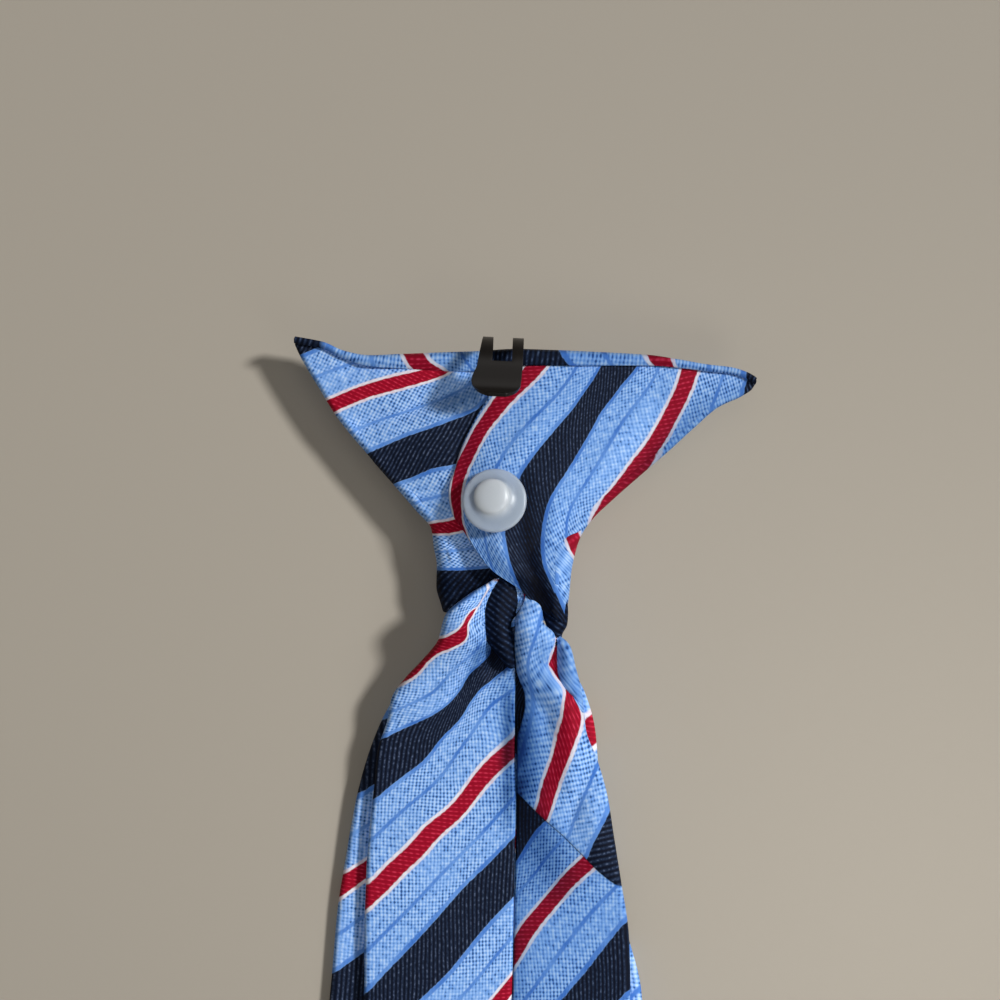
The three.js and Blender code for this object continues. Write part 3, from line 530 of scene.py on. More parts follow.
def cloth_look():
    """Basket weave in light blue with a mid-blue line, red and white satin stripes and ribbed navy."""
    s = Shader("striped_cloth")
    first = s.node("UVMap", uv_map="stripes").outputs[0]
    second = s.node("UVMap", uv_map="beyond").outputs[0]
    side = s.node("Attribute", attribute_name="bias").outputs["Fac"]
    place = s.mix(s.math("GREATER_THAN", side, 0.0), first, second)
    thread = s.noise(900.0, place=place)
    blotch = s.noise(160.0, 3.0, place)
    split = s.node("SeparateXYZ", {0: place})
    across, run = split.outputs[0], split.outputs[1]
    distance = s.math("PINGPONG", s.shaken(thread, 0.35 * MM, across), PERIOD / 2 * MM)

    # Lattice at 45 degrees to the stripes
    a = s.shaken(blotch, 0.5 * MM, s.math("MULTIPLY", s.math("ADD", across, run), 0.7071))
    b = s.math("MULTIPLY", s.math("SUBTRACT", across, run), 0.7071)
    wave_a, wave_b = s.wave(a, WEAVE * MM), s.wave(b, WEAVE * MM)
    lattice = s.math("MULTIPLY_ADD", wave_b, 0.7, wave_a)
    basket_height = s.node("MapRange", {0: lattice, 1: -1.3, 2: 1.5}).outputs[0]
    patch = s.noise(70.0, place=place)
    depth = s.node("MapRange", {0: patch, 1: 0.35, 2: 0.65, 3: 0.35, 4: 0.9}).outputs[0]
    middle = s.math("MULTIPLY_ADD", s.math("SUBTRACT", basket_height, 0.4), depth, 0.4)
    basket = s.ramp(s.shaken(thread, 1.3, middle), [(0.05, 190, 218, 255), (0.35, 146, 188, 246),
                                                    (0.65, 108, 158, 230), (0.9, 44, 84, 146)])
    smooth_blue = s.ramp(blotch, [(0.35, 68, 122, 206), (0.65, 112, 160, 230)])

    rib = s.wave(b, 0.76 * MM)
    dash = s.math("MULTIPLY", s.math("MULTIPLY_ADD", s.wave(a, 1.1 * MM, 0.7), 0.3, 0.6), rib)
    red = s.ramp(s.shaken(thread, 1.6, dash),
                 [(0.0, 154, 10, 38), (0.35, 176, 16, 46), (0.95, 208, 52, 80)])
    navy_rib = s.math("MULTIPLY_ADD", s.wave(a, 0.84 * MM), 0.45, 0.6)
    specks = s.math("MULTIPLY", navy_rib, s.noise(1500.0, place=place))
    navy = s.ramp(specks, [(0.15, 13, 19, 35), (0.5, 38, 50, 74), (0.72, 92, 104, 130)])
    white = s.ramp(thread, [(0.3, 226, 206, 220), (0.6, 240, 236, 244)])

    in_navy, in_red = band(s, distance, BLACK, PERIOD), band(s, distance, -1, RED)
    color = basket
    for place_in, look in ((band(s, distance, LINE_FROM, LINE_TO, 0.3), smooth_blue),
                           (band(s, distance, BORDER, BLACK, 0.3), smooth_blue), (in_navy, navy),
                           (band(s, distance, -1, WHITE - 0.2, 0.24), white), (in_red, red)):
        color = s.mix(place_in, color, look)
    # Painted shade: a thin dark line along the bias seam and the tucked creases, where the cloth folds over
    seam = s.math("LESS_THAN", s.math("ABSOLUTE", s.math("SUBTRACT", side, 0.02)), 0.13)
    color = s.mix(s.math("MULTIPLY", seam, 0.6), color, srgb(20, 24, 36))
    # Painted shade and painted light from the mesh multiply the colour
    painted_light = s.node("Attribute", attribute_name="painted_light").outputs["Color"]
    color = s.mix(1.0, color, painted_light, "MULTIPLY")

    # Relief of the weave, none on the satin white, and the cloth's own soft unevenness
    ribbed = s.math("ADD", in_navy, in_red)
    woven = s.math("SUBTRACT", 1.0, basket_height)
    height = s.mix(ribbed, woven, s.math("MULTIPLY_ADD", rib, 0.3, 0.5))
    height = s.mix(band(s, distance, RED, WHITE), height, (0.4, 0.4, 0.4, 1))
    coarse = s.math("MULTIPLY_ADD", blotch, 1.2, height)
    return s.dress(color, coarse, 0.45, 0.07, {"Roughness": 0.62, "Specular IOR Level": 0.07})


def steel_look():
    s = Shader("black_satin_steel")
    grain = s.noise(700.0, 4.0)
    color = s.ramp(grain, [(0.3, 20, 17, 15), (0.7, 30, 26, 23)])
    return s.dress(color, grain, 0.25, 0.02, {"Metallic": 0.35, "Roughness": 0.38})


def plastic_look():
    s = Shader("milky_plastic")
    haze = s.noise(260.0, 3.0)
    thin = s.ramp(haze, [(0.3, 158, 171, 188), (0.7, 172, 184, 197)])
    thick = s.ramp(haze, [(0.3, 190, 197, 203), (0.7, 200, 205, 210)])
    crown = s.node("Attribute", attribute_name="crown").outputs["Fac"]
    return s.dress(s.mix(crown, thin, thick), haze, 0.15, 0.05, {
        "Roughness": 0.3, "Specular IOR Level": 0.38, "Subsurface Weight": 1.0,
        "Subsurface Radius": (1, 1, 1), "Subsurface Scale": 4 * MM,
    })


CLOTH_LOOK = cloth_look()
STEEL_LOOK = steel_look()
PLASTIC_LOOK = plastic_look()

# Folds: soft ridges and valleys along a line of pixels. width in pixels, rise in mm
OVER_WRAP_FOLDS = [
    (10, 0.5, [(515, 500), (500, 545), (520, 582)]),
    (9, -0.45, [(545, 520), (528, 560), (545, 600)]),
    (8, 0.4, [(560, 540), (556, 575), (566, 612)]),
    (12, -0.5, [(600, 480), (566, 520), (552, 560)]),
    (14, 0.5, [(640, 420), (590, 480), (560, 520)]),
    (16, -0.4, [(700, 400), (640, 450), (600, 500)]),
    (14, 0.35, [(560, 400), (500, 470), (480, 520)]),
]
LEFT_LAYER_FOLDS = [
    (9, -1.1, [(352, 425), (400, 415), (440, 400), (478, 378)]),
    (12, 0.5, [(370, 380), (420, 372), (465, 372)]),
    (8, -0.5, [(340, 372), (372, 360), (410, 362)]),
    (9, 0.4, [(395, 460), (430, 450), (456, 450)]),
    (7, -0.45, [(412, 498), (440, 492), (456, 500)]),
    (8, 0.35, [(430, 552), (460, 552), (480, 556)]),
    (5, -0.4, [(433, 545), (460, 545), (474, 548)]),
]
TAIL_FOLDS = [
    (7, -0.5, [(404, 700), (430, 684), (455, 668), (474, 655)]),
    (9, 0.35, [(440, 690), (470, 650), (476, 625)]),
    (7, -0.5, [(536, 610), (540, 640), (533, 660)]),
    (9, -0.55, [(530, 690), (545, 712), (548, 740)]),
    (10, 0.4, [(550, 680), (562, 715), (558, 760)]),
    (6, -0.4, [(575, 690), (586, 724), (590, 745)]),
    (8, -0.4, [(586, 780), (572, 815), (566, 840)]),
    (13, 1.6, [(556, 672), (572, 705), (574, 745), (566, 790)]),
    (16, 0.9, [(590, 790), (598, 830), (606, 870)]),
    (14, 0.3, [(480, 760), (440, 800), (400, 850)]),
    (12, -0.3, [(500, 700), (504, 740), (512, 780)]),
]

# Painted shade and painted light along lines of pixels: darker where creases, hollows and higher folds shade
# the cloth, lighter where it faces the light. width in pixels, change of the painted lightness
OVER_WRAP_SHADE_LINES = [
    (9, -0.7, [(527, 470), (526, 520), (531, 560), (550, 612)]),
    (9, -0.3, [(549, 500), (543, 530), (545, 560)]),
    (9, -0.3, [(470, 530), (490, 560), (520, 590)]),
    (12, 0.12, [(660, 400), (620, 455), (590, 490)]),
    (10, -0.18, [(700, 400), (665, 445), (600, 520)]),
    (14, -0.16, [(480, 395), (470, 430), (462, 480)]),
    (11, -0.6, [(516, 574), (544, 604), (572, 640)]),
    (16, -0.22, [(770, 378), (704, 418), (640, 485)]),
]
LEFT_LAYER_SHADE_LINES = [
    (15, -0.75, [(424, 592), (456, 584), (500, 590)]),
    (9, -0.3, [(440, 403), (462, 398), (486, 384)]),
]
TAIL_SHADE_LINES = [
    (14, -0.85, [(488, 640), (494, 655), (498, 668)]),
    (20, -0.62, [(516, 670), (522, 730), (526, 800)]),
    (24, -0.4, [(510, 780), (542, 846), (566, 900)]),
    (6, -0.35, [(507, 690), (506, 760), (507, 830)]),
    (5, -0.4, [(478, 640), (474, 665), (463, 688)]),
    (9, 0.15, [(452, 655), (430, 680), (410, 710)]),
    (7, -0.2, [(545, 640), (540, 665), (550, 690)]),
]


def relief(points, folds):
    """Height in mm that the folds add at each point."""
    u, v = pixel_of(points)
    height = np.zeros(u.shape)
    for width, rise, line in folds:
        line = np.array(line, float)
        lengths = np.linalg.norm(np.diff(line, axis=0), axis=1)
        starts = np.concatenate([[0], np.cumsum(lengths)])
        nearest = np.full(u.shape, np.inf)
        place = np.zeros(u.shape)
        for i, length in enumerate(lengths):
            du, dv = (line[i + 1] - line[i]) / length
            t = np.clip((u - line[i, 0]) * du + (v - line[i, 1]) * dv, 0, length)
            gap = np.hypot(u - line[i, 0] - t * du, v - line[i, 1] - t * dv)
            closer = gap < nearest
            nearest = np.where(closer, gap, nearest)
            place = np.where(closer, starts[i] + t, place)
        share = place / starts[-1]
        fade = np.clip(4 * share * (1 - share), 0, 1) ** 0.5
        height += rise * (0.15 + 0.85 * fade) * np.exp(-(nearest / width) ** 2)
    return height


def ripple(points, size, rise, seed):
    """Small unevenness of cloth: a few crossed waves with seeded directions."""
    random = np.random.default_rng(seed)
    total = np.zeros(points.shape[:-1])
    for _ in range(14):
        angle = random.uniform(0, math.tau)
        length = size * random.uniform(0.6, 1.8)
        turn = points[..., 0] * math.cos(angle) + points[..., 1] * math.sin(angle)
        total += np.cos(turn * math.tau / length + random.uniform(0, math.tau))
    return rise * total / 14 ** 0.5


# Knot

def steps(count, last=False):
    """Even places from 0 to 1 as one row, with or without the last."""
    return np.linspace(0, 1, count, endpoint=last)[None, :]


def hump(s):
    return np.cos(np.clip(s, -1, 1) * math.pi / 2) ** 1.25


def rim_y(x):
    row = read(TOP, x / SPAN)
    return row["rise"] * KNOT_HEIGHT - row["roll"]


class KnotSections:
    """Sections of the knot at many heights, with the heights of their layers at any x."""

    def __init__(self, up):
        row = {name: value[:, None] for name, value in read(KNOT, up).items()}
        self.row = row
        self.left = row["left"] * SPAN + CLOTH / 2
        self.right = row["right"] * SPAN - CLOTH / 2
        self.fold = row["fold"] * DEPTH
        self.start = self.left + self.fold
        self.end = self.right - self.fold

    def share(self, x):
        return 2 * (x - self.start) / (self.end - self.start) - 1

    def front_z(self, x):
        s, row = self.share(x), self.row
        side = lerp(row["low_l"], row["low_r"], (s + 1) / 2)
        return (side - ((row["low_l"] + row["low_r"]) / 2 - row["front"]) * hump(s)) * DEPTH

    def left_z(self, x):
        s, row = self.share(x), self.row
        return lerp(row["high_l"], row["under"], hump(np.minimum(s, 0))) * DEPTH

    def over_z(self, x):
        s, row = self.share(x), self.row
        low = self.left_z(x) + (row["over"] - row["under"]) * DEPTH
        return np.where(s < 0, low, lerp(row["high_r"], row["over"], hump(s)) * DEPTH)


def knot_grid(up):
    k = KnotSections(up)
    stretch_from, hem_top, hem_bottom = 0.6, 0.042, -0.085

    def y_at(x, lift):
        rows = up[:, None] + 0 * x
        fade = np.clip((hem_top - rows) / (hem_top - hem_bottom), 0, 1) ** 2
        low = rows * KNOT_HEIGHT + lift * fade
        t = (rows - stretch_from) / (1 - stretch_from)
        return np.where(rows <= stretch_from, low, lerp(stretch_from * KNOT_HEIGHT, rim_y(x), t))

    parts = []

    def add(x, lift, z):
        parts.append(np.stack([x, y_at(x, lift), z], axis=-1))

    x = lerp(k.row["inner"] * SPAN, k.start, steps(80))
    add(x, HEM_RISE, k.left_z(x))
    angle = math.pi * steps(14)
    z = lerp(k.front_z(k.start), k.left_z(k.start), (1 + np.cos(angle)) / 2)
    add(k.start - k.fold * np.sin(angle), HEM_RISE, z)
    x = lerp(k.start, k.end, steps(60))
    add(x, HEM_RISE * (1 - steps(60)), k.front_z(x))
    x = k.end + k.fold * np.sin(angle)
    z = lerp(k.front_z(k.end), k.over_z(k.end), (1 - np.cos(angle)) / 2)
    add(x, np.where(angle > math.pi / 2, HEM_SLOPE * (k.right - x), 0), z)
    bulge = EDGE_BULGE * smoothstep(0.5, 0.68, up[:, None]) * smoothstep(0.98, 0.86, up[:, None])
    edge = k.row["edge"] * SPAN - bulge
    x = lerp(k.end, edge, steps(110, True))
    sink = np.minimum(EDGE_SINK, (k.row["over"] - k.row["under"]) * DEPTH - 1)
    add(x, HEM_SLOPE * (k.right - x), k.over_z(x) - smoothstep(EDGE_SETTLE, 0, x - edge) * sink)
    ends = np.cumsum([part.shape[1] for part in parts])
    return np.concatenate(parts, axis=1), ends


def knot_cloth():
    up = np.concatenate([np.linspace(-0.085, 0.042, 16, endpoint=False), np.linspace(0.042, 1, 96)])
    grid, (left, fold, front, turn, _) = knot_grid(up)
    grid[:, :left, 2] += relief(grid[:, :left], LEFT_LAYER_FOLDS)
    grid[:, turn:, 2] += relief(grid[:, turn:], OVER_WRAP_FOLDS)
    grid[..., 2] += ripple(grid, 9, 0.06, 3) * smoothstep(0, 3, grid[..., 2])
    stripes = np.zeros((*grid.shape[:2], 2))
    left_end, right_start = (left + fold) // 2, (front + turn) // 2
    bias = np.full(grid.shape[:2], NO_SEAM)
    stripes[:, :left_end, 0] = stripe_map(LEFT_LAYER_STRIPES)(*pixel_of(grid[:, :left_end]))
    u, v = pixel_of(grid[:, right_start:])
    over_wrap = stripe_map(OVER_WRAP_STRIPES)(u, v)
    stripes[:, right_start:, 0] = over_wrap
    below = v - SHORT_RED_CORNER[1] + SHORT_RED_SLOPE * (u - SHORT_RED_CORNER[0])
    inside = np.minimum(below, np.minimum(u - SHORT_RED_LEFT, SHORT_RED_BOTTOM - v))
    bias[:, right_start:] = TUCK_SHARPNESS * MM_PER_PIXEL * inside
    stripes[:, :left_end, 1] = along(grid[:, :left_end], 20)
    stripes[:, right_start:, 1] = along(grid[:, right_start:], 58)
    bridge(stripes[..., 0], grid, left_end, right_start, KNOT_SLOPE)
    bridge(stripes[..., 1], grid, left_end, right_start, KNOT_SLOPE)
    second = stripes.copy()
    turned = stripes[:, right_start, 0] - over_wrap[:, 0]
    short_red = PERIOD - RED + (u - read(SHORT_RED, v)["u"]) * MM_PER_PIXEL + turned[:, None]
    second[:, right_start:, 0] = np.maximum(stripes[:, right_start:, 0], short_red)
    # Painted shade and painted light: the left layer along its shade lines, the over wrap darker on the
    # whole and along its own lines
    painted_light = np.ones(grid.shape[:2])
    painted_light[:, :left_end] += relief(grid[:, :left_end], LEFT_LAYER_SHADE_LINES)
    painted_light[:, right_start:] = OVER_WRAP_SHADE_LEVEL + relief(grid[:, right_start:], OVER_WRAP_SHADE_LINES)
    piece = cloth_sheet("knot_cloth", grid, stripes, second, bias, painted_light)
    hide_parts("knot_wrap")


def top_fold_cloth():
    across = np.linspace(TOP["across"][0], TOP["across"][-1], 180)
    row = read(TOP, across)
    k = KnotSections(np.array([1.0]))
    x = np.clip(across * SPAN, k.left[0, 0], k.right[0, 0])
    inset = np.clip(x, k.start[0, 0], k.end[0, 0])
    edge = k.row["edge"][0, 0] * SPAN
    layer = lerp(k.left_z(inset)[0], k.over_z(inset)[0], smoothstep(edge - EDGE_SETTLE, edge, x))
    back, front = layer + CLOTH + STRIP_LIFT, k.front_z(inset)[0]
    start = rim_y(x) + STRIP_GAP * row["roll"] / TOP_ROLL
    reach = (row["rise"] * KNOT_HEIGHT - start - WALL / 2)[:, None]
    angle = math.pi * steps(16, True)
    y = start[:, None] + reach * np.sin(angle)
    z = lerp(front[:, None], back[:, None], (1 - np.cos(angle)) / 2)
    leg = steps(10, True)[:, 1:]
    end = (row["rise"] - row["lap"]) * KNOT_HEIGHT
    y = np.concatenate([y, lerp(start[:, None], end[:, None], leg)], axis=1)
    z = np.concatenate([z, back[:, None] - STRIP_DROP * leg**2], axis=1)
    grid = np.stack([np.broadcast_to(x[:, None], y.shape), y, z], axis=-1)
    grid[..., 2] += ripple(grid, 14, 0.08, 5)
    stripes = np.stack([stripe_map(STRIP_STRIPES)(*pixel_of(grid)), along(grid, -48)], axis=-1)
    # Painted shade over the whole top fold, a little lighter towards the left
    painted_light = np.broadcast_to(0.68 + 0.1 * smoothstep(5, -30, x)[:, None], y.shape)
    piece = cloth_sheet("top_fold_cloth", grid, stripes, painted_light=painted_light)
    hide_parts("top_fold")


# Blades

# Raised and sunk places of the tail below the knot. For each v: left and right border in pixels and the
# height in mm between them
LEFT_LOBE = columns("v left right crest", [
    (566, 492, 500, 0), (576, 490, 498, 0.6), (590, 470, 488, 1.6), (604, 447, 480, 2.6),
    (620, 437, 481, 3.1), (640, 433, 485, 3.3), (656, 422, 483, 3.0), (672, 409, 473, 2.4),
    (688, 398, 461, 1.7), (705, 388, 446, 0.9), (725, 380, 424, 0),
])
RIGHT_LOBE = columns("v left right crest", [
    (590, 523, 536, 0), (598, 522, 537, 0.9), (611, 518, 546, 2.2), (626, 512, 549, 3.0),
    (641, 514, 554, 3.2), (655, 515, 551, 3.0), (664, 516, 547, 2.8), (673, 517, 554, 2.6),
    (686, 521, 563, 2.3), (700, 524, 576, 1.9), (725, 519, 590, 1.3), (760, 514, 600, 0.7),
    (800, 513, 612, 0.3), (840, 512, 620, 0),
])
OUTER_LOBE = columns("v left right crest", [
    (615, 560, 568, 0), (626, 561, 570, 1.2), (640, 559, 575, 2.0), (655, 558.5, 581, 2.3),
    (670, 559, 585, 2.2), (686, 564, 589, 1.7), (700, 576, 592, 1.0), (720, 584, 595, 0),
])
HOLLOW = columns("v left right crest", [
    (596, 484, 520, 0), (612, 482, 520, -1.0), (640, 484, 516, -1.8), (662, 482, 512, -1.9),
    (672, 484, 508, -1.4), (680, 487, 498, -0.5), (686, 489, 493, 0),
])


def pad(points, table):
    """Height of a rounded lobe between the table's left and right borders."""
    u, v = pixel_of(points)
    row = read(table, v)
    s = np.clip(np.abs(2 * (u - row["left"]) / (row["right"] - row["left"]) - 1), 0, 1)
    inside = (v > table["v"][0]) & (v < table["v"][-1])
    return np.where(inside, row["crest"] * (1 - s**2) ** 0.6, 0)


def blade_grid(table, down, drop, width, thickness, counts, gap):
    """Flattened tube of cloth with rolled sides: from the seam over the left flap, the front and the
    right flap back to the seam. Returns the grid and the column where each part ends."""
    row = {name: value[:, None] for name, value in read(table, down).items()}
    y = -row["down"] * drop
    left, right = row["left"] * width, row["right"] * width
    half = (right - left) / 2
    thick = row["thick"] * thickness
    fold = np.minimum((thick - CLOTH) / 2, half / 2)
    low = row["under"] * DEPTH + CLOTH / 2
    high = low - CLOTH + thick
    start, end = left + CLOTH / 2 + fold, right - CLOTH / 2 - fold
    seam = row["seam"] * width
    apart = row["open"] * half
    inner_left = np.clip(seam - apart - gap[:, :1], start + fold / 4, seam)
    inner_right = np.clip(seam + apart + gap[:, 1:], seam, end - fold / 4)
    flap, roll, front = counts
    angle = math.pi * steps(roll)
    parts = [
        (lerp(inner_left, start, steps(flap)), high + 0 * steps(flap)),
        (start - fold * np.sin(angle), lerp(low, high, (1 + np.cos(angle)) / 2)),
        (lerp(start, end, steps(front)), low + 0 * steps(front)),
        (end + fold * np.sin(angle), lerp(low, high, (1 - np.cos(angle)) / 2)),
        (lerp(end, inner_right, steps(flap, True)), high + 0 * steps(flap, True)),
    ]
    x = np.concatenate([part[0] for part in parts], axis=1)
    z = np.concatenate([part[1] for part in parts], axis=1)
    ends = np.cumsum([part[0].shape[1] for part in parts])
    return np.stack([x, y + 0 * x, z], axis=-1), ends


def raise_flaps(grid, ends, height):
    """Adds a height to the flaps, and lets it fade out around the rolled sides."""
    low, high = grid[:, ends[1]:ends[1] + 1, 2], grid[:, :1, 2]
    share = np.clip((grid[..., 2] - low) / (high - low), 0, 1)
    grid[..., 2] += height * share


def front_blade_cloth():
    down = np.concatenate([np.linspace(-0.024, 0.26, 110, endpoint=False), np.linspace(0.26, 0.996, 90)])
    gap = np.full((len(down), 2), SEAM_GAP / 2)
    grid, ends = blade_grid(BLADE, down, BLADE_DROP, BLADE_WIDTH, BLADE_THICK, (36, 10, 40), gap)
    raise_flaps(grid, ends, ripple(grid, 30, 0.08, 11))
    stripes = blade_stripes(grid, ends, FRONT_LEFT_STRIPES, FRONT_RIGHT_STRIPES)
    piece = cloth_sheet("front_blade_cloth", grid, stripes)
    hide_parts("front_blade")


def blade_stripes(grid, ends, left_lines, right_lines):
    """Pattern of a blade: as in the picture on its two flaps, and straight on from there."""
    flap, left_roll, front, right_roll, _ = ends
    stripes = np.zeros((*grid.shape[:2], 2))
    left_end, right_start = (flap + left_roll) // 2, (front + right_roll) // 2
    centre = (left_roll + front) // 2
    last_row = int(np.argmax(pixel_of(grid[:, centre])[1] > FRAME_PIXELS + MARGIN / 2))
    for part, lines in ((np.s_[:, :left_end], left_lines), (np.s_[:, right_start:], right_lines)):
        u, v = pixel_of(grid[part])
        phase = stripe_map(lines)(u, np.minimum(v, FRAME_PIXELS + MARGIN))
        stripes[..., 0][part] = phase
        stripes[..., 1][part] = along(grid[part], 45)
    for values, down_slope in ((stripes[..., 0], DOWN_SLOPE), (stripes[..., 1], -DOWN_SLOPE)):
        bridged = bridge(values, grid, left_end, right_start, BLADE_SLOPE)
        unroll(values, grid, bridged, centre, last_row, down_slope)
    return stripes


# Gap to the seam line of the two flaps' inner edges, in pixels, at each v
SEAM_OPENING = columns("v left right", [
    (560, 1, 1), (667, 1, 1.5), (679, 1, 4), (693, 1, 9), (704, 1, 9.5), (726, 1, 5), (740, 1, 1.6),
    (800, 0.4, 0.6), (1000, 0.35, 0.5),
])

# The right lobe folds over its red stripe here: at this v the stripe closes, half as wide as this in mm
PINCH_V, PINCH_REACH, PINCH_HALF = 681, 7, 3.2


def tail_cloth():
    down = np.concatenate([np.linspace(-0.022, 0.3, 205, endpoint=False), np.linspace(0.3, 0.996, 72)])
    y = -down * TAIL_DROP
    v = NECK_V - y / MM_PER_PIXEL
    opening = read(SEAM_OPENING, v)
    gap = np.stack([opening["left"], opening["right"]], axis=-1) * MM_PER_PIXEL
    grid, ends = blade_grid(TAIL, down, TAIL_DROP, TAIL_WIDTH, TAIL_THICK, (64, 11, 24), gap)
    u, v = pixel_of(grid)
    beyond = (v - read(BIAS_SEAM, u)["v"]) * MM_PER_PIXEL * BIAS_SLANT
    right_side = np.arange(grid.shape[1])[None, :] >= ends[2]
    beyond = np.where(right_side & (v > BIAS_FROM_V), beyond, -1.0)
    height = sum(pad(grid, lobe) for lobe in (LEFT_LOBE, RIGHT_LOBE, OUTER_LOBE, HOLLOW))
    height += relief(grid, TAIL_FOLDS) + ripple(grid, 16, 0.06, 7)
    height += np.where(right_side, 0.3 * smoothstep(0.2, -0.3, beyond) * smoothstep(700, 760, v), 0)
    raise_flaps(grid, ends, height)
    stripes = blade_stripes(grid, ends, LEFT_FLAP_STRIPES, RIGHT_FLAP_STRIPES)
    lower = blade_stripes(grid, ends, LEFT_FLAP_STRIPES, BIAS_STRIPES)
    pinch = PINCH_HALF * np.exp(-((v - PINCH_V) / PINCH_REACH) ** 2)
    signed = stripes[..., 0].copy()
    stripes[..., 0] = np.where(right_side, np.maximum(np.abs(signed), pinch), signed)
    second = np.where((v > BIAS_FROM_V)[..., None], lower, stripes)
    for line, start_phase, slope, here in ((LEFT_LOBE_TUCK, RED, 1.6, ~right_side & (u < 500)),
                                           (RIGHT_LOBE_TUCK, WHITE + 0.3, 0.95, right_side & (u > 545))):
        beside = right_of(line, u, v)
        inside = here & (beside > -2) & (v < BIAS_FROM_V)
        anew = np.maximum(signed, start_phase + slope * beside)
        second[..., 0] = np.where(inside, anew, second[..., 0])
        beyond = np.where(inside, TUCK_SHARPNESS * beside, beyond)
    # Painted shade and painted light: the tail darker on the whole and along its shade lines, the right flap
    # darker still on its second length and beside the seam
    painted_light = TAIL_SHADE_LEVEL + relief(grid, TAIL_SHADE_LINES)
    second_length_shade = 0.06 + 0.16 * smoothstep(-0.6, 0.6, beyond)
    shade_beside_seam = 0.3 * np.exp(-np.maximum(u - SEAM_U, 0) / SEAM_SHADE) * smoothstep(690, 740, v)
    painted_light -= np.where(right_side, second_length_shade + shade_beside_seam, 0)
    piece = cloth_sheet("tail_cloth", grid, stripes, second, beyond, painted_light)
    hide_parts("tail_blade")
    tongue = petal("tail_tongue", TONGUE, PERIOD / 2, folds=[(5, 0.3, [(500, 590), (497, 620), (505, 650)])])
    spike = petal("tail_spike", SPIKE, PERIOD / 2)


# The dark tongue and the small spike under the lobes: left and right border in pixels, and the height
# of the borders and of the middle above them in mm
TONGUE = columns("v left right base crest", [
    (564, 492, 512, 11.2, 1.6), (578, 490, 519, 11.4, 2.2), (590, 485, 524, 11.4, 2.7),
    (600, 482, 524, 11.3, 3.0), (613, 480.5, 519, 11.1, 3.1), (625, 482, 515, 10.8, 3.2),
    (635, 484.5, 515, 10.5, 3.2), (645, 491, 514.5, 10.3, 3.0), (655, 499, 514, 10.2, 2.5),
    (663, 505.5, 514, 10.1, 1.9), (668, 510, 514.5, 10.0, 1.2),
])
SPIKE = columns("v left right base crest", [
    (598, 538, 566, 12.2, 1.2), (612, 543, 567, 12.0, 1.4), (624, 547, 566, 11.6, 1.4),
    (634, 550, 561, 11.2, 1.3), (642, 554, 559.5, 10.9, 1.0), (647, 556, 557.5, 10.7, 0.6),
])


def petal(name, table, phase, rows=90, cols=50, folds=()):
    """A tongue of cloth that bulges between the table's left and right borders."""
    v = np.linspace(table["v"][0], table["v"][-1], rows)[:, None]
    row = {key: value.reshape(-1, 1) for key, value in read(table, v[:, 0]).items()}
    s = steps(cols, True)
    arch = np.sin(math.pi * s) ** 0.7
    z = row["base"] + row["crest"] * arch
    u = lerp(row["left"], row["right"], (1 - np.cos(math.pi * s)) / 2 * 0.5 + s * 0.5)
    grid = at_pixel(u, v, z)
    grid[..., 2] += relief(grid, folds) * arch
    stripes = np.stack([phase + 0.9 * (grid[..., 0] - grid[..., 0].mean()), along(grid, 100)], axis=-1)
    # Painted shade: the tongue and the spike lie in the hollows under the lobes
    return cloth_sheet(name, grid, stripes, painted_light=np.full(z.shape, PETAL_SHADE_LEVEL), wall=0.6)


# Clip

def clip_piece():
    """Bent sheet steel: hidden plate, two arms over the top edge, and the tab with its flared lip. Its
    path holds, for each row, y and z and how far the sheet reaches to the left and right."""
    radius = (CLIP_HIGH - CLIP_LOW) / 2
    bend_y = CLIP_TOP - radius - SHEET / 2
    bend_z = (CLIP_HIGH + CLIP_LOW) / 2
    path = [(bend_y - drop, CLIP_LOW, half, half) for drop, half in (
        (32, 4.9), (8, 4.9), (6, 4.8), (4, 4.3), (3, 4.2))]
    for t in np.linspace(0, 1, 33):
        turn, waist = math.pi * t, 0.75 * math.sin(math.pi * t)
        path.append((bend_y + (radius - 0.7) * math.sin(turn), bend_z - radius * math.cos(turn),
                     lerp(4.2, 4.5, t) - waist, 4.24))
    path += [(bend_y - drop, CLIP_HIGH + rise, left, right) for drop, rise, left, right in (
        (0.5, 0, 4.65, 4.2), (1.2, 0, 5.0, 4.16), (2.05, 0, 5.29, 4.12), (2.9, 0, 5.46, 4.06),
        (3.7, 0.1, 5.22, 3.97), (4.25, 0.25, 4.75, 3.65), (4.7, 0.5, 4.2, 3.2), (5.05, 0.8, 3.5, 2.5),
        (5.3, 1.1, 2.7, 1.8), (5.42, 1.3, 2.0, 1.2))]
    share = (1, 0.96, 0.75, 0.5, 0.25, 0, -0.25, -0.5, -0.75, -0.96, -1)
    grid = np.array([[(CLIP_X + max(s, 0) * right + min(s, 0) * left, y, z) for s in share]
                     for y, z, left, right in path])
    piece = mesh_object("clip_steel", *thick_sheet(grid, np.full(grid.shape[:2], SHEET / 2)))
    upper = (bend_y + 1.1, bend_y + 3 * radius, CLIP_LOW + 2, CLIP_HIGH + 3)
    lower = (bend_y - 3, bend_y + 3 * radius, CLIP_LOW - 3, CLIP_LOW + 6)
    for low_y, high_y, low_z, high_z in (upper, lower):
        low = (CLIP_GAP_X - CLIP_GAP / 2, low_y, low_z)
        cut_box(piece, low, (CLIP_GAP_X + CLIP_GAP / 2, high_y, high_z))
    finish_edges(piece, SHEET_EDGE)
    piece.data.materials.append(STEEL_LOOK)
    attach(piece, "root")
    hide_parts("clip")


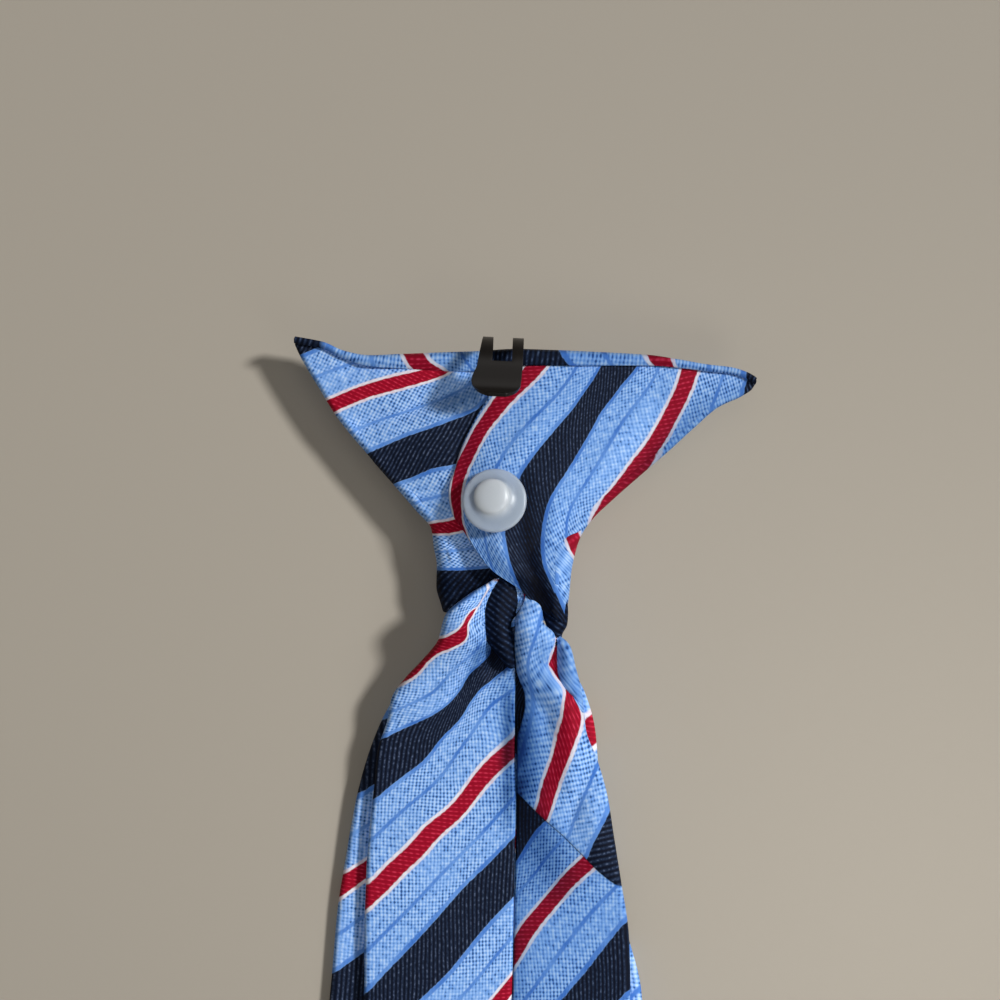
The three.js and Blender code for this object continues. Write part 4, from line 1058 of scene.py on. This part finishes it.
def cut_box(piece, low, high):
    """Cuts a box, given by its lowest and highest corner in mm, out of a piece."""
    bm = bmesh.new()
    bmesh.ops.create_cube(bm, size=1)
    low, high = np.array(low), np.array(high)
    for vertex in bm.verts:
        vertex.co = (lerp(low, high, np.array(vertex.co) + 0.5)) * MM + NECK
    mesh = bpy.data.meshes.new("cutter")
    bm.to_mesh(mesh)
    bm.free()
    cutter = add_object("cutter", mesh)
    cut = piece.modifiers.new("cut", "BOOLEAN")
    cut.object = cutter
    cut.solver = "EXACT"
    apply_modifiers(piece)
    bpy.data.objects.remove(cutter)


def finish_edges(piece, width):
    """Rounds the hard edges of a piece by a width in mm."""
    bevel = piece.modifiers.new("bevel", "BEVEL")
    bevel.width = width * MM
    bevel.segments = 3
    bevel.limit_method = "ANGLE"
    bevel.angle_limit = math.radians(50)
    bevel.harden_normals = False
    apply_modifiers(piece)
    piece.data.shade_smooth()


def apply_modifiers(piece):
    """Replaces a piece's mesh by what its modifiers make of it."""
    graph = bpy.context.evaluated_depsgraph_get()
    made = bpy.data.meshes.new_from_object(piece.evaluated_get(graph))
    piece.modifiers.clear()
    piece.data = made


# Stud

def stud_outline(stem_drop):
    """Half section of the stud, as (radius, height over the flange's seat) from foot to dome."""
    foot = -stem_drop - FOOT_THICK
    flat = STUD_RADIUS - FLANGE_ROUND
    outline = [(0, foot), (FOOT_RADIUS - 0.2, foot), (FOOT_RADIUS, foot + 0.2), (FOOT_RADIUS, -stem_drop),
               (STEM_RADIUS, -stem_drop), (STEM_RADIUS, -0.1), (STEM_RADIUS + 0.1, 0), (flat, 0)]
    for angle in math.pi * np.linspace(-0.5, 0.5, 9)[1:]:
        outline.append((flat + FLANGE_ROUND * math.cos(angle), 0.5 + 0.5 * math.sin(angle)))
    outline += [(5.2, 1.02), (4.7, 1.06), (4.4, 1.12), (4.1, 1.22), (3.85, 1.36), (3.6, 1.56)]
    for angle in math.pi / 2 * np.linspace(0, 1, 12)[:-1]:
        rise = DOME_RIM + (DOME_HEIGHT - DOME_RIM) * math.sin(angle)
        outline.append((DOME_RADIUS * math.cos(angle) ** 0.8, STUD_FLANGE + rise))
    return outline + [(0, STUD_FLANGE + DOME_HEIGHT)]


def stud_piece():
    """Milky plastic stud: a rounded flange with a dome, and its hidden stem and foot."""
    lean = math.radians(STUD_LEAN)
    first, *outline, last = stud_outline(
        (STUD_SEAT - CLIP_LOW) / math.cos(lean) + SHEET / 2 + FOOT_RADIUS * math.sin(lean) + 0.3)
    sides = 96
    vertices = [(0, 0, first[1])]
    for r, z in outline:
        vertices += [(r * math.cos(a), r * math.sin(a), z) for a in math.tau / sides * np.arange(sides)]
    vertices.append((0, 0, last[1]))
    points = np.array(vertices, float)
    rings = range(1, len(points) - 1, sides)
    faces = []
    for i in range(sides):
        j = (i + 1) % sides
        faces.append((0, 1 + j, 1 + i))
        faces += [(ring + i, ring + j, ring + sides + j, ring + sides + i) for ring in rings[:-1]]
        faces.append((rings[-1] + i, rings[-1] + j, len(points) - 1))
    points[:, :2] += np.array(DOME_SHIFT) * smoothstep(DOME_FROM, DOME_FROM + 0.9, points[:, 2:])
    heading = math.radians(STUD_HEADING)
    axis = np.array([-math.sin(heading), math.cos(heading), 0])
    turned = (points * math.cos(lean) + np.cross(axis, points) * math.sin(lean)
              + axis * (points @ axis)[:, None] * (1 - math.cos(lean)))
    piece = mesh_object("stud_plastic", turned + np.array([STUD_X, STUD_Y, STUD_SEAT]), faces)
    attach(piece, "root")
    piece.data.materials.append(PLASTIC_LOOK)
    crown = piece.data.attributes.new("crown", "FLOAT", "POINT")
    crown.data.foreach_set("value", smoothstep(1.1, 1.9, points[:, 2]))
    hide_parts("stud")


# Floor, lights and camera

# Half the floor's side in metres
FLOOR_HALF = 3.0


def floor():
    s = Shader("pale_floor")
    s.surface.inputs["Base Color"].default_value = srgb(170, 162, 149)
    s.surface.inputs["Roughness"].default_value = 0.7
    mesh = bpy.data.meshes.new("floor")
    corners = [(x * FLOOR_HALF, y * FLOOR_HALF, 0) for x, y in ((-1, -1), (1, -1), (1, 1), (-1, 1))]
    mesh.from_pydata(corners, [], [(0, 1, 2, 3)])
    mesh.materials.append(s.material)
    piece = add_object("floor", mesh)


def aim(name, data, place, target):
    """A light at a place, turned towards a target. Both in the row frame."""
    light = add_object(name, data)
    light.location = place
    light.rotation_euler = Vector(target - place).to_track_quat("-Z", "Y").to_euler()
    light.visible_camera = False


def lights():
    """A sun from the right, a small lamp outside the picture's lower right corner, and soft fill."""
    centre = NECK + np.array([0, 0.02, 0.01])

    def towards(azimuth, elevation, distance):
        a, e = math.radians(azimuth), math.radians(elevation)
        away = np.array([math.cos(a) * math.cos(e), math.sin(a) * math.cos(e), math.sin(e)])
        return centre + distance * away

    sun = bpy.data.lights.new("key", "SUN")
    sun.energy = 2.6
    sun.angle = math.radians(8)
    aim("key", sun, towards(23, 46, 1), centre)
    for name, place, size, power in (
            ("near_lamp", NECK + at_pixel(1450, 1460, 160) * MM, 0.1, 0.12),
            ("fill", towards(200, 55, 1.2), 1.2, 0.6), ("top", towards(90, 70, 1.4), 0.9, 1.2)):
        lamp = bpy.data.lights.new(name, "AREA")
        lamp.shape = "DISK"
        lamp.size = size
        lamp.energy = power
        lamp.use_shadow = name != "near_lamp"
        aim(name, lamp, place, centre)
    world = bpy.data.worlds.new("studio")
    bpy.context.scene.world = world
    world.use_nodes = True
    background = world.node_tree.nodes["Background"]
    background.inputs["Color"].default_value = (1.0, 0.95, 0.88, 1)
    background.inputs["Strength"].default_value = 0.1


def camera():
    data = bpy.data.cameras.new("camera")
    data.sensor_width = 36
    data.lens = 36 * (CAMERA_HEIGHT - SCALE_HEIGHT) / MM_PER_PIXEL / FRAME_PIXELS
    data.clip_start = 0.01
    view = add_object("camera", data)
    view.location = np.array([*VIEW_CENTRE, CAMERA_HEIGHT]) * MM + NECK
    view.rotation_euler = (0, 0, LEAN)
    bpy.context.scene.camera = view


floor()
knot_cloth()
top_fold_cloth()
front_blade_cloth()
tail_cloth()
clip_piece()
stud_piece()
lights()
camera()
bpy.context.scene.view_settings.view_transform = "Standard"
